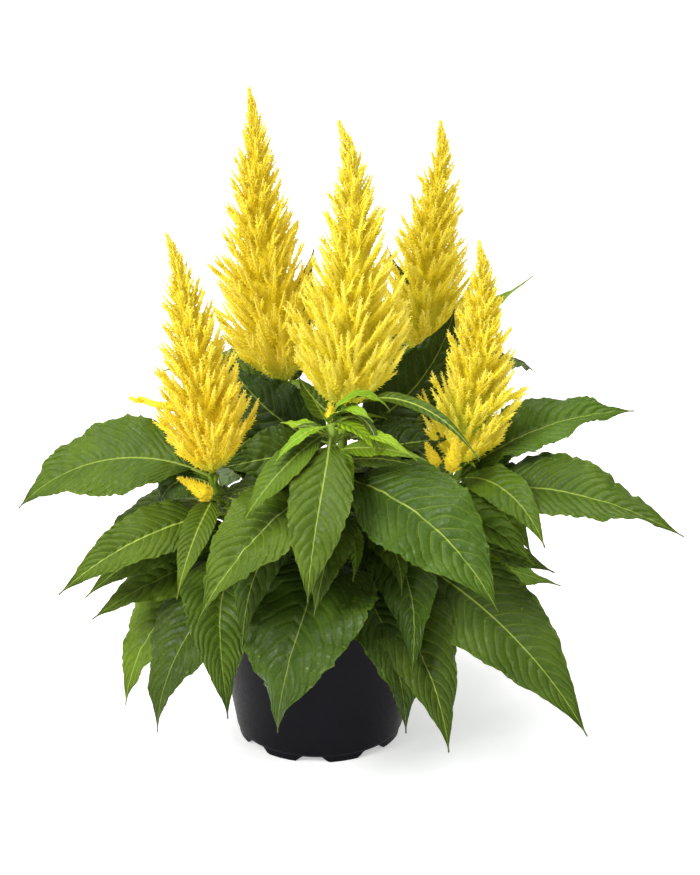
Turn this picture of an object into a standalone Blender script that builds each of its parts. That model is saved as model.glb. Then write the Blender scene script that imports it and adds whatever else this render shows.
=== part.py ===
"""Plume celosia in its plastic nursery pot: pot, soil, six leafy stems and their feathery yellow plumes.

Run with: blender --background --python part.py
Metres, +Z up. The origin is the centre of the pot's foot, on the surface that the pot stands on.
-Y is the front, where the largest leaves hang over the pot. The plant's tables are in mm and degrees.
"""

import math
import random

import bpy
from mathutils import Matrix, Vector

MM = 0.001
UP = Vector((0, 0, 1))
CLEAR = 0.3 * MM  # gap between pieces that touch
GOLDEN = math.radians(137.5)

# Driving dimensions of the pot
POT_HEIGHT = 108 * MM
RIM_RADIUS = 70 * MM
FOOT_RADIUS = 51 * MM
WALL = 1.6 * MM
RIM_BAND = 13 * MM  # height of the thicker band round the mouth
RIM_STEP = 1.5 * MM  # how far the band stands out from the wall
FOOT_HEIGHT = 4.4 * MM  # the foot ring, under the raised floor
FOOT_STEP = 0.9 * MM  # ledge between the foot ring and the wall
FOOT_THICKNESS = 3 * MM
POT_SIDES = 32
NOTCHES = 8  # gaps in the foot ring that let water out
NOTCH_BOTTOM = 21 * MM
NOTCH_TOP = 12 * MM
NOTCH_TURN = math.radians(-95)
DRAIN_RADIUS = 4 * MM
DRAIN_SIDES = 6
DRAIN_CIRCLE = 36 * MM
CENTRE_FOOT_RADIUS = 14 * MM

# Driving dimensions of the soil
SOIL_TOP = 96 * MM
SOIL_LUMP = 1.6 * MM
SOIL_SIDES = 24
SOIL_RINGS = 4
STEM_DEPTH = 30 * MM  # how deep each stem stands in the soil

# Shape of the stems
STEM_SIDES = 8
STEM_RINGS = 9
STRAIGHT_RISE = 3 * MM  # a stem is upright this far above the soil
STEM_TAPER = 0.66  # radius at the top, as a share of the radius at the foot

# Shape that every leaf shares
BLADE_THICKNESS = 0.8 * MM
PETIOLE_THICKNESS = 2.2 * MM
PETIOLE_WIDTH = 2.4 * MM
PETIOLE_SHARE = 0.1  # share of the leaf's length before the blade starts
ROLL_SHARE = 0.33  # share of the length over which the roll comes in
TIP_WIDTH = 1.2 * MM
BLADE_FOLD = 0.2  # rise of the margin from the midrib, as a share of the half width
WAVE_SHARE = 0.05  # height of the margin's waves, as a share of the width
WIDEST = 0.38  # where the blade is widest, as a share of its length
BLADE_BASE = 0.9  # under 1 the blade's base is round, over 1 it is drawn out
MIDRIB_STEPS = 24
BLADE_STEPS = 7
SMALL_BLADE_STEPS = 4
SMALL_LEAF = 24 * MM  # a leaf narrower than this has fewer steps

# Shape that every plume shares
CORE_SIDES = 7
CORE_RINGS = 9
SMALL_CORE_RINGS = 5
CORE_SHARE = 0.5  # radius of the core, as a share of the plume's reach at that height
BELLY = 0.28  # where a plume is widest, as a share of its length
CORE_TIP = 0.8 * MM
LOWEST_TIP = 0.13  # height of the lowest floret's tip, as a share of the plume's length
LOWEST_ROOT = 0.08
FLORET_RISE = 0.17  # rise from a floret's root to its tip, as a share of the plume's length
FLORET_ROOT = 0.5  # a floret's root lies this far from the axis, as a share of the core's radius
FLORET_RADIUS = 5 * MM  # of the lowest florets' roots on a long plume
FLORET_MINIMUM = 1.6 * MM  # of the highest
LONG_PLUME = 130 * MM
SMALL_PLUME = 40 * MM  # a plume shorter than this has fewer rings in its core

# Colours: red, green, blue and roughness
FINISHES = {
    "pot_plastic": (0.018, 0.018, 0.022, 0.45),
    "soil": (0.045, 0.028, 0.017, 0.95),
    "leaf_green": (0.09, 0.22, 0.03, 0.5),
    "plume_yellow": (0.86, 0.58, 0.03, 0.75),
}

# Each stem: foot on the soil (x, y), top (x, y, z) and radius at the foot
STEMS = {
    "left": ((-13, -7), (-61, -45, 188), 3.4),
    "back_left": ((-8, 12), (-21, 45, 211), 3.4),
    "centre": ((2, 3), (16, -15, 220), 3.6),
    "back_right": ((12, 13), (66, 60, 222), 3.4),
    "right": ((17, -5), (84, -15, 181), 3.4),
    "front": ((3, -17), (8, -60, 226), 3.0),
}

# Each leaf: height of its root on the stem, heading (0 is +X, 90 is +Y), how far the heading turns on the way
# to the tip, length, rise at the root, rise at the tip, width, and roll round the midrib
LEAVES = {
    "left": (
        (166, 145, 40, 140, 15, -30, 50, -45),
        (150, 165, 20, 100, 35, -65, 30, -10),
        (158, -145, -15, 120, 10, -40, 34, -35),
        (142, -155, 0, 115, 15, -40, 30, -35),
        (126, -150, -5, 125, 10, -30, 40, -35),
        (112, -155, 10, 150, 20, -85, 46, -30),
        (114, -130, -10, 155, 20, -90, 44, -20),
        (124, -135, 75, 140, 25, -85, 44, 0),
        (174, -105, -10, 80, 0, -65, 18, -15),
        (172, 165, 30, 50, 55, -95, 30, -30),
        (140, 150, -10, 110, 20, -50, 40, -10),
        (120, 140, 10, 130, 20, -70, 44, 20),
    ),
    "front": (
        (182, -125, -15, 125, 5, -55, 48, -20),
        (132, -130, 25, 125, 50, -85, 34, 0),
        (126, -90, -40, 145, 20, -90, 78, -10),
        (162, -80, -35, 95, 20, -65, 30, 0),
        (208, -95, -20, 105, -5, -85, 36, 0),
        (188, -35, -5, 135, 5, -55, 58, 35),
        (160, -50, -55, 65, 0, -35, 12, 0),
        (208, -170, 20, 65, -5, 0, 36, -40),
        (220, -135, -10, 80, -10, -55, 20, -20),
        (222, -140, 0, 45, 15, -50, 10, 0),
        (217, -55, 15, 45, 80, -30, 14, 0),
        (223, -50, 5, 40, 30, -50, 14, 5),
        (218, -25, -20, 40, 45, -55, 14, 20),
        (205, -35, 5, 65, 25, -10, 16, 30),
        (116, -60, -5, 140, 20, -90, 48, 5),
    ),
    "centre": (
        (104, -55, 0, 160, 25, -75, 42, 5),
        (132, -35, -70, 145, 20, -65, 40, 15),
        (144, -35, -60, 100, 10, -30, 24, 20),
        (214, -40, 10, 105, 40, -55, 14, 20),
        (198, 25, 10, 105, 10, 75, 44, 60),
        (190, 150, -5, 95, 0, 55, 46, -60),
        (170, -140, -20, 80, 15, -10, 36, -20),
        (176, -40, 10, 90, 10, -20, 40, 30),
    ),
    "right": (
        (126, -50, 25, 185, 5, -60, 64, 35),
        (162, -25, 5, 150, 20, -25, 46, 30),
        (168, -50, 0, 90, 35, -60, 26, 20),
        (148, 0, -35, 80, 30, -65, 28, 30),
        (142, -40, 0, 100, 35, -40, 28, 35),
        (130, -5, -5, 105, 5, -25, 30, 35),
        (128, 25, -10, 130, -20, -25, 40, 40),
        (170, 10, -10, 115, 40, 0, 44, 15),
        (164, 35, 0, 65, 30, 20, 14, 10),
    ),
    "back_right": (
        (150, 15, 15, 115, 20, -20, 42, 10),
        (214, 5, 20, 85, 45, 30, 14, 5),
        (190, 40, 10, 120, 30, -40, 44, 0),
        (170, 75, 0, 140, 20, -45, 52, 0),
        (140, 50, 0, 150, 25, -60, 54, 0),
        (120, 75, 10, 150, 25, -75, 50, 5),
        (126, 25, 0, 140, 25, -70, 46, 0),
        (205, 100, 0, 90, 35, -30, 36, 0),
    ),
    "back_left": (
        (190, 130, 0, 120, 25, -35, 46, 0),
        (172, 95, 0, 140, 20, -40, 54, 0),
        (150, 150, 0, 140, 20, -50, 52, 0),
        (132, 115, 0, 150, 25, -60, 54, 0),
        (116, 90, 10, 150, 25, -80, 48, 0),
        (120, 145, -10, 140, 25, -75, 46, 0),
        (202, 60, 0, 85, 40, -30, 34, 0),
        (200, 170, 0, 80, 35, -20, 34, 0),
        (165, -160, 0, 70, 25, -20, 34, -20),
    ),
}

# Each twig that carries a side plume: its stem, the height of its root on the stem, its end (x, y, z) and
# the tip of its plume (x, y, z)
TWIGS = {
    "left_side": ("left", 166, (-61, -55, 176), (-80, -58, 190)),
    "right_side": ("right", 166, (77, -46, 189), (80, -52, 215)),
    "right_side_small": ("right", 160, (69, -40, 190), (62, -45, 206)),
}
TWIG_RADIUS = 1.3 * MM

# Each plume: tip (x, y, z), reach of its florets, sway of its middle (x, y), and number of florets
PLUMES = {
    "left": ((-82, -45, 328), 37, (7, 0), 68),
    "back_left": ((-39, 45, 389), 33, (-4, 2), 72),
    "centre": ((13, -15, 387), 38, (3, 0), 74),
    "back_right": ((72, 60, 366), 27, (-3, 0), 62),
    "right": ((92, -15, 316), 30, (2, 0), 62),
    "front_bud": ((7, -62, 237), 4, (0, 0), 7),
    "left_side": (TWIGS["left_side"][3], 8, (0, 1), 13),
    "right_side": (TWIGS["right_side"][3], 7, (0, 0), 13),
    "right_side_small": (TWIGS["right_side_small"][3], 5, (0, 0), 9),
}
PLUME_STEMS = {"front_bud": "front"}  # a plume whose stem has another name


def clear_scene():
    for found in list(bpy.data.objects):
        bpy.data.objects.remove(found, do_unlink=True)


def make_material(name):
    red, green, blue, roughness = FINISHES[name]
    material = bpy.data.materials.new(name)
    material.use_nodes = True
    shader = material.node_tree.nodes["Principled BSDF"]
    shader.inputs["Base Color"].default_value = (red, green, blue, 1)
    shader.inputs["Roughness"].default_value = roughness
    shader.inputs["Metallic"].default_value = 0
    material.diffuse_color = (red, green, blue, 1)
    return material


def add_object(name, points, faces, material=None):
    mesh = bpy.data.meshes.new(name)
    mesh.from_pydata([tuple(point) for point in points], [], faces)
    if material:
        mesh.materials.append(material)
    made = bpy.data.objects.new(name, mesh)
    bpy.context.scene.collection.objects.link(made)
    return made


def add_loft(name, rings, material=None, mirrored=False):
    """Closed body through rings of equal count, each seen anticlockwise from its far end.

    Side faces are triangles. Where mirrored is set, the second half of each ring is split the other way,
    so that the two faces of a thin blade have the same creases.
    """
    count = len(rings[0])
    points = [point for ring in rings for point in ring]
    faces = [tuple(reversed(range(count)))]
    for step in range(len(rings) - 1):
        for corner in range(count):
            a = step * count + corner
            b = step * count + (corner + 1) % count
            c, d = b + count, a + count
            if mirrored and corner >= count // 2:
                faces += [(a, b, d), (b, c, d)]
            else:
                faces += [(a, b, c), (a, c, d)]
    last = (len(rings) - 1) * count
    faces.append(tuple(range(last, last + count)))
    return add_object(name, points, faces, material)


def join(base, others, operation="UNION"):
    """Combine one object with a list of others by one Boolean, applied, and remove the others."""
    group = bpy.data.collections.new("joined")
    bpy.context.scene.collection.children.link(group)
    for other in others:
        group.objects.link(other)
    cut = base.modifiers.new("join", "BOOLEAN")
    cut.operand_type = "COLLECTION"
    cut.collection = group
    cut.operation = operation
    cut.solver = "EXACT"
    evaluated = base.evaluated_get(bpy.context.evaluated_depsgraph_get())
    joined = bpy.data.meshes.new_from_object(evaluated)
    joined.name = base.name
    base.modifiers.clear()
    base.data = joined
    for other in others:
        bpy.data.objects.remove(other, do_unlink=True)
    bpy.data.collections.remove(group)
    return base


def shade_round(made, sharp_degrees):
    made.data.shade_smooth()
    made.data.set_sharp_from_angle(angle=math.radians(sharp_degrees))


def circle(centre, radius, sides, across=Vector((1, 0, 0)), along=Vector((0, 1, 0))):
    turns = [2 * math.pi * side / sides for side in range(sides)]
    return [centre + radius * (math.cos(turn) * across + math.sin(turn) * along) for turn in turns]


def frame_round(direction, guide=Vector((1, 0, 0))):
    """Two directions square to the given one, the first as near the guide as it can be."""
    across = (guide - guide.dot(direction) * direction).normalized()
    return across, direction.cross(across)


def blend(share):
    """Smooth step from 0 to 1."""
    share = min(max(share, 0), 1)
    return share * share * (3 - 2 * share)


# Pot


def pot_wall_radius(height):
    """Outer radius of the tapered wall, under the rim band."""
    share = (height - FOOT_HEIGHT) / (POT_HEIGHT - FOOT_HEIGHT)
    return FOOT_RADIUS + share * (RIM_RADIUS - RIM_STEP - FOOT_RADIUS)


def pot_profile():
    """Radius and height down the outside, under the floor, then up the inside to the rim."""
    band = POT_HEIGHT - RIM_BAND
    floor = FOOT_HEIGHT + WALL
    lip = 0.8 * MM
    outer_foot = FOOT_RADIUS - FOOT_STEP
    return (
        (RIM_RADIUS - lip, POT_HEIGHT),
        (RIM_RADIUS, POT_HEIGHT - lip),
        (RIM_RADIUS - 0.6 * MM, band),
        (pot_wall_radius(band), band - RIM_STEP),
        (FOOT_RADIUS, FOOT_HEIGHT + FOOT_STEP),
        (outer_foot, FOOT_HEIGHT),
        (outer_foot - 0.4 * MM, 0),
        (outer_foot - FOOT_THICKNESS, 0),
        (outer_foot - FOOT_THICKNESS, FOOT_HEIGHT),
        (CENTRE_FOOT_RADIUS, FOOT_HEIGHT),
        (CENTRE_FOOT_RADIUS, 0),
        (0, 0),
        (0, floor),
        (pot_inner_radius(floor), floor),
        (pot_inner_radius(band), band),
        (RIM_RADIUS - RIM_STEP - lip, POT_HEIGHT),
    )


def pot_inner_radius(height):
    return pot_wall_radius(height) - WALL


def turned(name, profile, sides, material):
    """Body turned round Z from a closed profile that runs down its outer side and touches the axis."""
    points = []
    rows = []
    for radius, height in profile:
        if radius == 0:
            rows.append([len(points)] * sides)
            points.append(Vector((0, 0, height)))
        else:
            rows.append([len(points) + side for side in range(sides)])
            points += circle(Vector((0, 0, height)), radius, sides)
    faces = []
    for upper, lower in zip(rows, rows[1:] + rows[:1]):
        for side in range(sides):
            after = (side + 1) % sides
            corners = (upper[side], lower[side], lower[after], upper[after])
            face = tuple(dict.fromkeys(corners))
            if len(face) > 2:
                faces.append(face)
    return add_object(name, points, faces, material)


def make_pot():
    pot = turned("pot", pot_profile(), POT_SIDES, make_material("pot_plastic"))
    cutters = []
    reach = 3 * MM  # how far a cutter runs past the foot ring on each side
    for number in range(NOTCHES):
        turn = NOTCH_TURN + 2 * math.pi * number / NOTCHES
        out = Vector((math.cos(turn), math.sin(turn), 0))
        across = UP.cross(out)
        rings = []
        for radius in (FOOT_RADIUS - FOOT_STEP - FOOT_THICKNESS - reach, FOOT_RADIUS + reach):
            low = radius * out - MM * UP
            high = radius * out + (FOOT_HEIGHT - CLEAR) * UP
            half_low = NOTCH_BOTTOM / 2 * across
            half_high = NOTCH_TOP / 2 * across
            rings.append([low + half_low, high + half_high, high - half_high, low - half_low])
        cutters.append(add_loft("notch", [ring[::-1] for ring in rings]))
        drain = DRAIN_CIRCLE * out
        below = circle(drain, DRAIN_RADIUS, DRAIN_SIDES)
        above = circle(drain + 2 * FOOT_HEIGHT * UP, DRAIN_RADIUS, DRAIN_SIDES)
        cutters.append(add_loft("drain", [below, above]))
    join(pot, cutters, "DIFFERENCE")
    shade_round(pot, 25)


# Soil


def soil_height(x, y):
    """Surface of the soil: low, uneven lumps that settle at the wall."""
    lumps = math.sin(x / MM / 6.3 + 1.1) * math.sin(y / MM / 5.1) + math.sin((x + y) / MM / 9.7 + 2)
    return SOIL_TOP + SOIL_LUMP * (lumps / 2 - 0.5)


def make_soil():
    """Root ball from the pot's floor to the uneven top, with a plain hole for each stem."""
    floor = FOOT_HEIGHT + WALL + CLEAR
    edge = SOIL_TOP - 2 * SOIL_LUMP
    rings = [circle(Vector((0, 0, floor)), pot_inner_radius(floor) - CLEAR, SOIL_SIDES)]
    outer = pot_inner_radius(edge) - CLEAR
    for ring in range(SOIL_RINGS):
        radius = outer * (1 - ring / SOIL_RINGS)
        points = circle(Vector((0, 0, edge)), radius, SOIL_SIDES)
        if ring:
            points = [Vector((point.x, point.y, soil_height(point.x, point.y))) for point in points]
        rings.append(points)
    soil = add_loft("soil", rings, make_material("soil"))
    holes = []
    for foot, top, radius in STEMS.values():
        width = radius * MM + CLEAR
        centre = Vector((foot[0] * MM, foot[1] * MM, SOIL_TOP - STEM_DEPTH - CLEAR))
        above = centre + 2 * STEM_DEPTH * UP
        holes.append(add_loft("hole", [circle(point, width, STEM_SIDES) for point in (centre, above)]))
    join(soil, holes, "DIFFERENCE")
    shade_round(soil, 40)


# Leafy stems


def stem_point(stem, height):
    """Centre of the stem at a height: upright in the soil, leaning out, then upright under its plume."""
    foot, top, radius = STEMS[stem]
    start = SOIL_TOP + STRAIGHT_RISE
    share = blend((height - start) / (top[2] * MM - start))
    x = foot[0] + share * (top[0] - foot[0])
    y = foot[1] + share * (top[1] - foot[1])
    return Vector((x * MM, y * MM, height))


def stem_rings(stem):
    foot, top, radius = STEMS[stem]
    low = SOIL_TOP + STRAIGHT_RISE
    high = top[2] * MM
    rings = [circle(stem_point(stem, SOIL_TOP - STEM_DEPTH), radius * MM, STEM_SIDES)]
    for step in range(STEM_RINGS):
        share = step / (STEM_RINGS - 1)
        height = low + share * (high - low)
        ahead = stem_point(stem, height + MM) - stem_point(stem, height - MM)
        across, along = frame_round(ahead.normalized())
        thickness = radius * MM * (1 - (1 - STEM_TAPER) * share)
        rings.append(circle(stem_point(stem, height), thickness, STEM_SIDES, across, along))
    rings[-1] = [Vector((point.x, point.y, high)) for point in rings[-1]]
    return rings


def leaf_midrib(root, heading, veer, length, rise, tip_rise):
    """Points along the midrib, and there its direction and the level direction square to it.

    The heading and the rise both change evenly from root to tip.
    """
    points = [root]
    headings = []
    for step in range(MIDRIB_STEPS + 1):
        share = step / MIDRIB_STEPS
        turn = math.radians(heading + veer * share)
        climb = math.radians(rise + (tip_rise - rise) * share)
        level = Vector((math.cos(turn), math.sin(turn), 0))
        direction = math.cos(climb) * level + math.sin(climb) * UP
        headings.append((direction, level.cross(UP)))
        if step < MIDRIB_STEPS:
            points.append(points[-1] + direction * length / MIDRIB_STEPS)
    return points, headings


def blade_share(share):
    """Half width of an ovate blade with a long pointed tip, from 0 at each end to 1 where it is widest."""
    after = BLADE_BASE * (1 - WIDEST) / WIDEST
    return (share / WIDEST) ** BLADE_BASE * ((1 - share) / (1 - WIDEST)) ** after


def leaf_rings(stem, leaf):
    """Sections of the leaf: three points across, on both faces, from inside the stem to the tip."""
    root_height, heading, veer, length, rise, tip_rise, width, roll = leaf
    root = stem_point(stem, root_height * MM)
    points, headings = leaf_midrib(root, heading, veer, length * MM, rise, tip_rise)
    blade_steps = SMALL_BLADE_STEPS if width * MM < SMALL_LEAF else BLADE_STEPS
    rings = []
    for step in range(-1, blade_steps + 1):
        blade = max(step, 0) / blade_steps
        share = 0 if step < 0 else PETIOLE_SHARE + (1 - PETIOLE_SHARE) * blade
        place = share * MIDRIB_STEPS
        lower = min(int(place), MIDRIB_STEPS - 1)
        centre = points[lower].lerp(points[lower + 1], place - lower)
        direction, side = headings[round(place)]
        turn = math.radians(roll) * min(1, share / ROLL_SHARE)
        side = Matrix.Rotation(turn, 3, direction) @ side
        normal = side.cross(direction)
        half = PETIOLE_WIDTH / 2
        thick = PETIOLE_THICKNESS / 2
        wave = 0
        if step > 0:
            half = max(width * MM * blade_share(blade), TIP_WIDTH) / 2
            thick = BLADE_THICKNESS / 2
            wave = WAVE_SHARE * width * MM * (-1) ** step * (1 - blade)
        fold = BLADE_FOLD * half if step > 0 else 0
        folds = (fold + wave, fold - wave)
        left = centre - half * side + folds[0] * normal
        right = centre + half * side + folds[1] * normal
        lift = thick * normal
        rings.append([left + lift, centre + lift, right + lift, right - lift, centre - lift, left - lift])
    return rings


def make_twig(name):
    """Twig from inside its stem to the seat of its side plume, square to the plume's axis."""
    stem, height, end, tip = TWIGS[name]
    root = stem_point(stem, height * MM)
    seat = Vector(end) * MM
    axis = (Vector(tip) * MM - seat).normalized()
    out = (seat - root).normalized()
    bend = root.lerp(seat, 0.6) - 1.5 * MM * axis
    rings = []
    for point, facing in ((root, out), (bend, (out + axis).normalized()), (seat, axis)):
        rings.append(circle(point, TWIG_RADIUS, STEM_SIDES, *frame_round(facing)))
    return add_loft("twig", rings)


def make_leafy_stem(stem, material):
    made = add_loft("leafy_stem_" + stem, stem_rings(stem), material)
    pieces = [add_loft("leaf", leaf_rings(stem, leaf), None, True) for leaf in LEAVES[stem]]
    pieces += [make_twig(name) for name in TWIGS if TWIGS[name][0] == stem]
    join(made, pieces)


# Plumes


def plume_seat(name):
    """Centre of the plume's flat base, the direction its seat faces, and the base's radius."""
    if name in TWIGS:
        stem, height, end, tip = TWIGS[name]
        axis = (Vector(tip) - Vector(end)).normalized()
        return Vector(end) * MM + CLEAR * axis, axis, TWIG_RADIUS
    foot, top, radius = STEMS[PLUME_STEMS.get(name, name)]
    return Vector(top) * MM + CLEAR * UP, UP, radius * STEM_TAPER * MM


def plume_point(name, share):
    """Centre of the plume's axis, from its seat to its tip."""
    tip, reach, sway, count = PLUMES[name]
    bend = Vector((sway[0], sway[1], 0)) * MM * math.sin(math.pi * share)
    return plume_seat(name)[0].lerp(Vector(tip) * MM, share) + bend


def plume_reach(name, share):
    """Distance from the plume's axis to the tips of its florets: a swelling below, a long cone above."""
    reach = PLUMES[name][1] * MM
    if share < BELLY:
        return reach * (0.45 + 0.55 * math.sin(share / BELLY * math.pi / 2))
    return reach * ((1 - share) / (1 - BELLY)) ** 0.9


def floret(root, tip, radius, turn):
    """Three-sided point, as a larger copy of the many small florets."""
    direction = (tip - root).normalized()
    across, along = frame_round(direction, Vector((math.cos(turn), math.sin(turn), 0.3)).normalized())
    points = circle(root, radius, 3, across, along) + [tip]
    return add_object("floret", points, [(2, 1, 0), (0, 1, 3), (1, 2, 3), (2, 0, 3)])


def make_plume(name, seed, material):
    draw = random.Random(seed)
    seat, facing, seat_radius = plume_seat(name)
    count = PLUMES[name][3]
    axis = (plume_point(name, 1) - seat).normalized()
    length = (plume_point(name, 1) - seat).length
    across, along = frame_round(axis)
    rings = [circle(seat, seat_radius, CORE_SIDES, *frame_round(facing))]
    steps = (CORE_RINGS if length > SMALL_PLUME else SMALL_CORE_RINGS) - 1
    for ring in range(1, steps + 1):
        share = 0.98 * (ring / steps) ** 1.2
        radius = max(CORE_SHARE * plume_reach(name, share), CORE_TIP)
        rings.append(circle(plume_point(name, share), radius, CORE_SIDES, across, along))
    plume = add_loft("plume_" + name, rings, material)
    florets = []
    thickness = min(1, length / LONG_PLUME)
    for number in range(count):
        order = number / (count - 1)
        tip_share = LOWEST_TIP + (1 - LOWEST_TIP) * order ** 0.9
        turn = GOLDEN * number + draw.uniform(-0.2, 0.2)
        out = math.cos(turn) * across + math.sin(turn) * along
        reach = plume_reach(name, tip_share) * draw.uniform(0.86, 1.12) + CORE_TIP
        root_share = max(LOWEST_ROOT, tip_share - FLORET_RISE * (1 - order / 3))
        inside = FLORET_ROOT * CORE_SHARE * plume_reach(name, root_share)
        radius = (FLORET_MINIMUM + (FLORET_RADIUS - FLORET_MINIMUM) * (1 - order)) * thickness ** 0.7
        tip = plume_point(name, tip_share) + reach * out
        florets.append(floret(plume_point(name, root_share) + inside * out, tip, radius, turn))
    join(plume, florets)


clear_scene()
make_pot()
make_soil()
leaf_material = make_material("leaf_green")
for stem_name in STEMS:
    make_leafy_stem(stem_name, leaf_material)
plume_material = make_material("plume_yellow")
for seed_number, plume_name in enumerate(PLUMES):
    make_plume(plume_name, seed_number + 1, plume_material)
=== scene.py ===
# Plume celosia in its nursery pot: the finished look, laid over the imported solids.
# The tables are in mm and degrees and follow the places of the solids.
import math
import random

import bpy
import numpy as np
from mathutils import Matrix


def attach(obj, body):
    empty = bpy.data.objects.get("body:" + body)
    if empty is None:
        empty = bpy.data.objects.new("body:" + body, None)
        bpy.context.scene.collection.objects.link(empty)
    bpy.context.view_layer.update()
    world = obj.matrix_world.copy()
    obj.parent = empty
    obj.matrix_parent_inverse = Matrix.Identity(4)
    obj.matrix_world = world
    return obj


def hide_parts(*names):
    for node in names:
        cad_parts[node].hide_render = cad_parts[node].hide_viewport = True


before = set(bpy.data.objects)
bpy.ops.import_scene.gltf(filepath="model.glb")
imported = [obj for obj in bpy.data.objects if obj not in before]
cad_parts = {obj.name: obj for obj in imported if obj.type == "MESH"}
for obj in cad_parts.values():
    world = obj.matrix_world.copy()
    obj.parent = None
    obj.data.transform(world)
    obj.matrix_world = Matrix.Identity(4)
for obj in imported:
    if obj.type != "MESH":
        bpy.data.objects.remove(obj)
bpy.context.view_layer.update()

mm = 0.001
golden = math.radians(137.5)
upward = np.array((0.0, 0.0, 1.0))
print("frame loaded:", len(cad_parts), "solids")


# shapes that several pieces share


def unit(vectors):
    # each vector divided by its own length
    return vectors / np.maximum(np.linalg.norm(vectors, axis=-1, keepdims=True), 1e-9)


def smooth(share):
    # 3 s squared minus 2 s cubed, held between 0 and 1
    share = np.clip(share, 0, 1)
    return share * share * (3 - 2 * share)


def ripple(values, seed, waves=4):
    # sum of a few sines of rising pitch and random phase, about -1 to 1
    draw = random.Random(seed)
    total = np.zeros_like(values, dtype=float)
    for wave in range(waves):
        total += np.sin(values * (1.3 + 1.7 * wave + draw.random()) + draw.uniform(0, 6.3)) / (1 + 0.6 * wave)
    return total / 2.2


def square(direction, guide):
    # two directions square to the given ones: the guide less its share along them, and the cross of both
    across = unit(guide - np.sum(guide * direction, -1, keepdims=True) * direction)
    return across, np.cross(direction, across)


def spokesAt(turn, across, along):
    # cosine of the turn in one direction plus its sine in the other
    return np.cos(turn)[:, None] * across + np.sin(turn)[:, None] * along


def bezier(first, middle, last, t):
    # quadratic curve through first and last, drawn towards the middle, and its direction
    t = t[..., None]
    point = (1 - t) ** 2 * first + 2 * t * (1 - t) * middle + t ** 2 * last
    return point, unit(2 * (1 - t) * (middle - first) + 2 * t * (last - middle))


def ringsRound(path, across, along, radius, sides, shape=None):
    # circle round each point of the path in the plane of across and along, its radius times the shape
    turn = np.arange(sides) * 2 * math.pi / sides
    reach = radius[..., None] * (1 if shape is None else shape(turn))
    return path[..., None, :] + reach[..., None] * spokesAt(turn, across[..., None, :], along[..., None, :])


def closedTubes(rings, starts, ends):
    # rings (tubes, steps, sides, 3) and two end points of each tube, joined by quads and by fans at the ends
    tubes, steps, sides = rings.shape[:3]
    points = np.concatenate((rings.reshape(tubes, -1, 3), starts[:, None], ends[:, None]), 1)
    step, side = np.meshgrid(np.arange(steps - 1), np.arange(sides), indexing="ij")
    corner = (step * sides + side).ravel()
    after = (step * sides + (side + 1) % sides).ravel()
    quads = np.stack((corner, after, after + sides, corner + sides), -1)
    fan = np.arange(sides)
    turned = (fan + 1) % sides
    last = (steps - 1) * sides
    first = np.stack((turned, fan, np.full(sides, steps * sides)), -1)
    final = np.stack((last + fan, last + turned, np.full(sides, steps * sides + 1)), -1)
    offset = np.arange(tubes)[:, None, None] * (steps * sides + 2)
    fans = (np.concatenate((first, final)) + offset).reshape(-1, 3)
    return points, ((quads + offset).reshape(-1, 4), fans)


def part(points, faces, slot=0, **attributes):
    # one share of a mesh: points, arrays of faces, number of its material, and vectors for the material
    return {"points": points.reshape(-1, 3), "faces": faces, "slot": slot, "attributes": attributes}


def tubePart(rings, start, end, slot=0, **attributes):
    # one closed tube through the rings, from its start point to its end point
    points, faces = closedTubes(rings[None], start[None], end[None])
    return part(points, faces, slot, **attributes)


def addPiece(name, parts, materials, sharpAngle, nodeNames):
    # every part's points and faces put into one mesh by whole arrays, with its vector attributes
    names = sorted({key for made in parts for key in made["attributes"]})
    corners, sizes, slots, offset = [], [], [], 0
    columns = {key: [] for key in names}
    for made in parts:
        for faces in made["faces"]:
            corners.append((faces + offset).ravel())
            sizes.append(np.full(len(faces), faces.shape[1]))
            slots.append(np.full(len(faces), made["slot"]))
        count = len(made["points"])
        offset += count
        for key in names:
            values = made["attributes"].get(key)
            columns[key].append(np.zeros((count, 3)) if values is None else values.reshape(-1, 3))
    points = np.concatenate([made["points"] for made in parts]) * mm
    sizes = np.concatenate(sizes)
    mesh = bpy.data.meshes.new(name)
    mesh.vertices.add(len(points))
    mesh.vertices.foreach_set("co", points.astype(np.float32).ravel())
    mesh.loops.add(int(sizes.sum()))
    mesh.loops.foreach_set("vertex_index", np.concatenate(corners).astype(np.int32))
    mesh.polygons.add(len(sizes))
    mesh.polygons.foreach_set("loop_start", np.concatenate(([0], np.cumsum(sizes)[:-1])).astype(np.int32))
    mesh.polygons.foreach_set("material_index", np.concatenate(slots).astype(np.int32))
    for key in names:
        values = np.concatenate(columns[key]).astype(np.float32)
        mesh.attributes.new(key, "FLOAT_VECTOR", "POINT").data.foreach_set("vector", values.ravel())
    mesh.update(calc_edges=True)
    mesh.shade_smooth()
    mesh.set_sharp_from_angle(angle=math.radians(sharpAngle))
    for material in materials:
        mesh.materials.append(material)
    piece = bpy.data.objects.new(name, mesh)
    bpy.context.scene.collection.objects.link(piece)
    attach(piece, "root")
    if nodeNames:
        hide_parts(*nodeNames)
    print("made", name, "with", int((sizes - 2).sum()), "triangles")
    return piece


# material effects that several materials share


def put(tree, kind, values=None, **settings):
    # new node with its settings, and each named socket either linked or given its value
    made = tree.nodes.new(kind)
    for key, value in settings.items():
        setattr(made, key, value)
    for key, value in (values or {}).items():
        if isinstance(value, bpy.types.NodeSocket):
            tree.links.new(value, made.inputs[key])
        else:
            made.inputs[key].default_value = value
    return made


def calc(tree, operation, first, second=0.0, clamp=False):
    # one step of arithmetic, named by its operation
    return put(tree, "ShaderNodeMath", {0: first, 1: second}, operation=operation, use_clamp=clamp).outputs[0]


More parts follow.
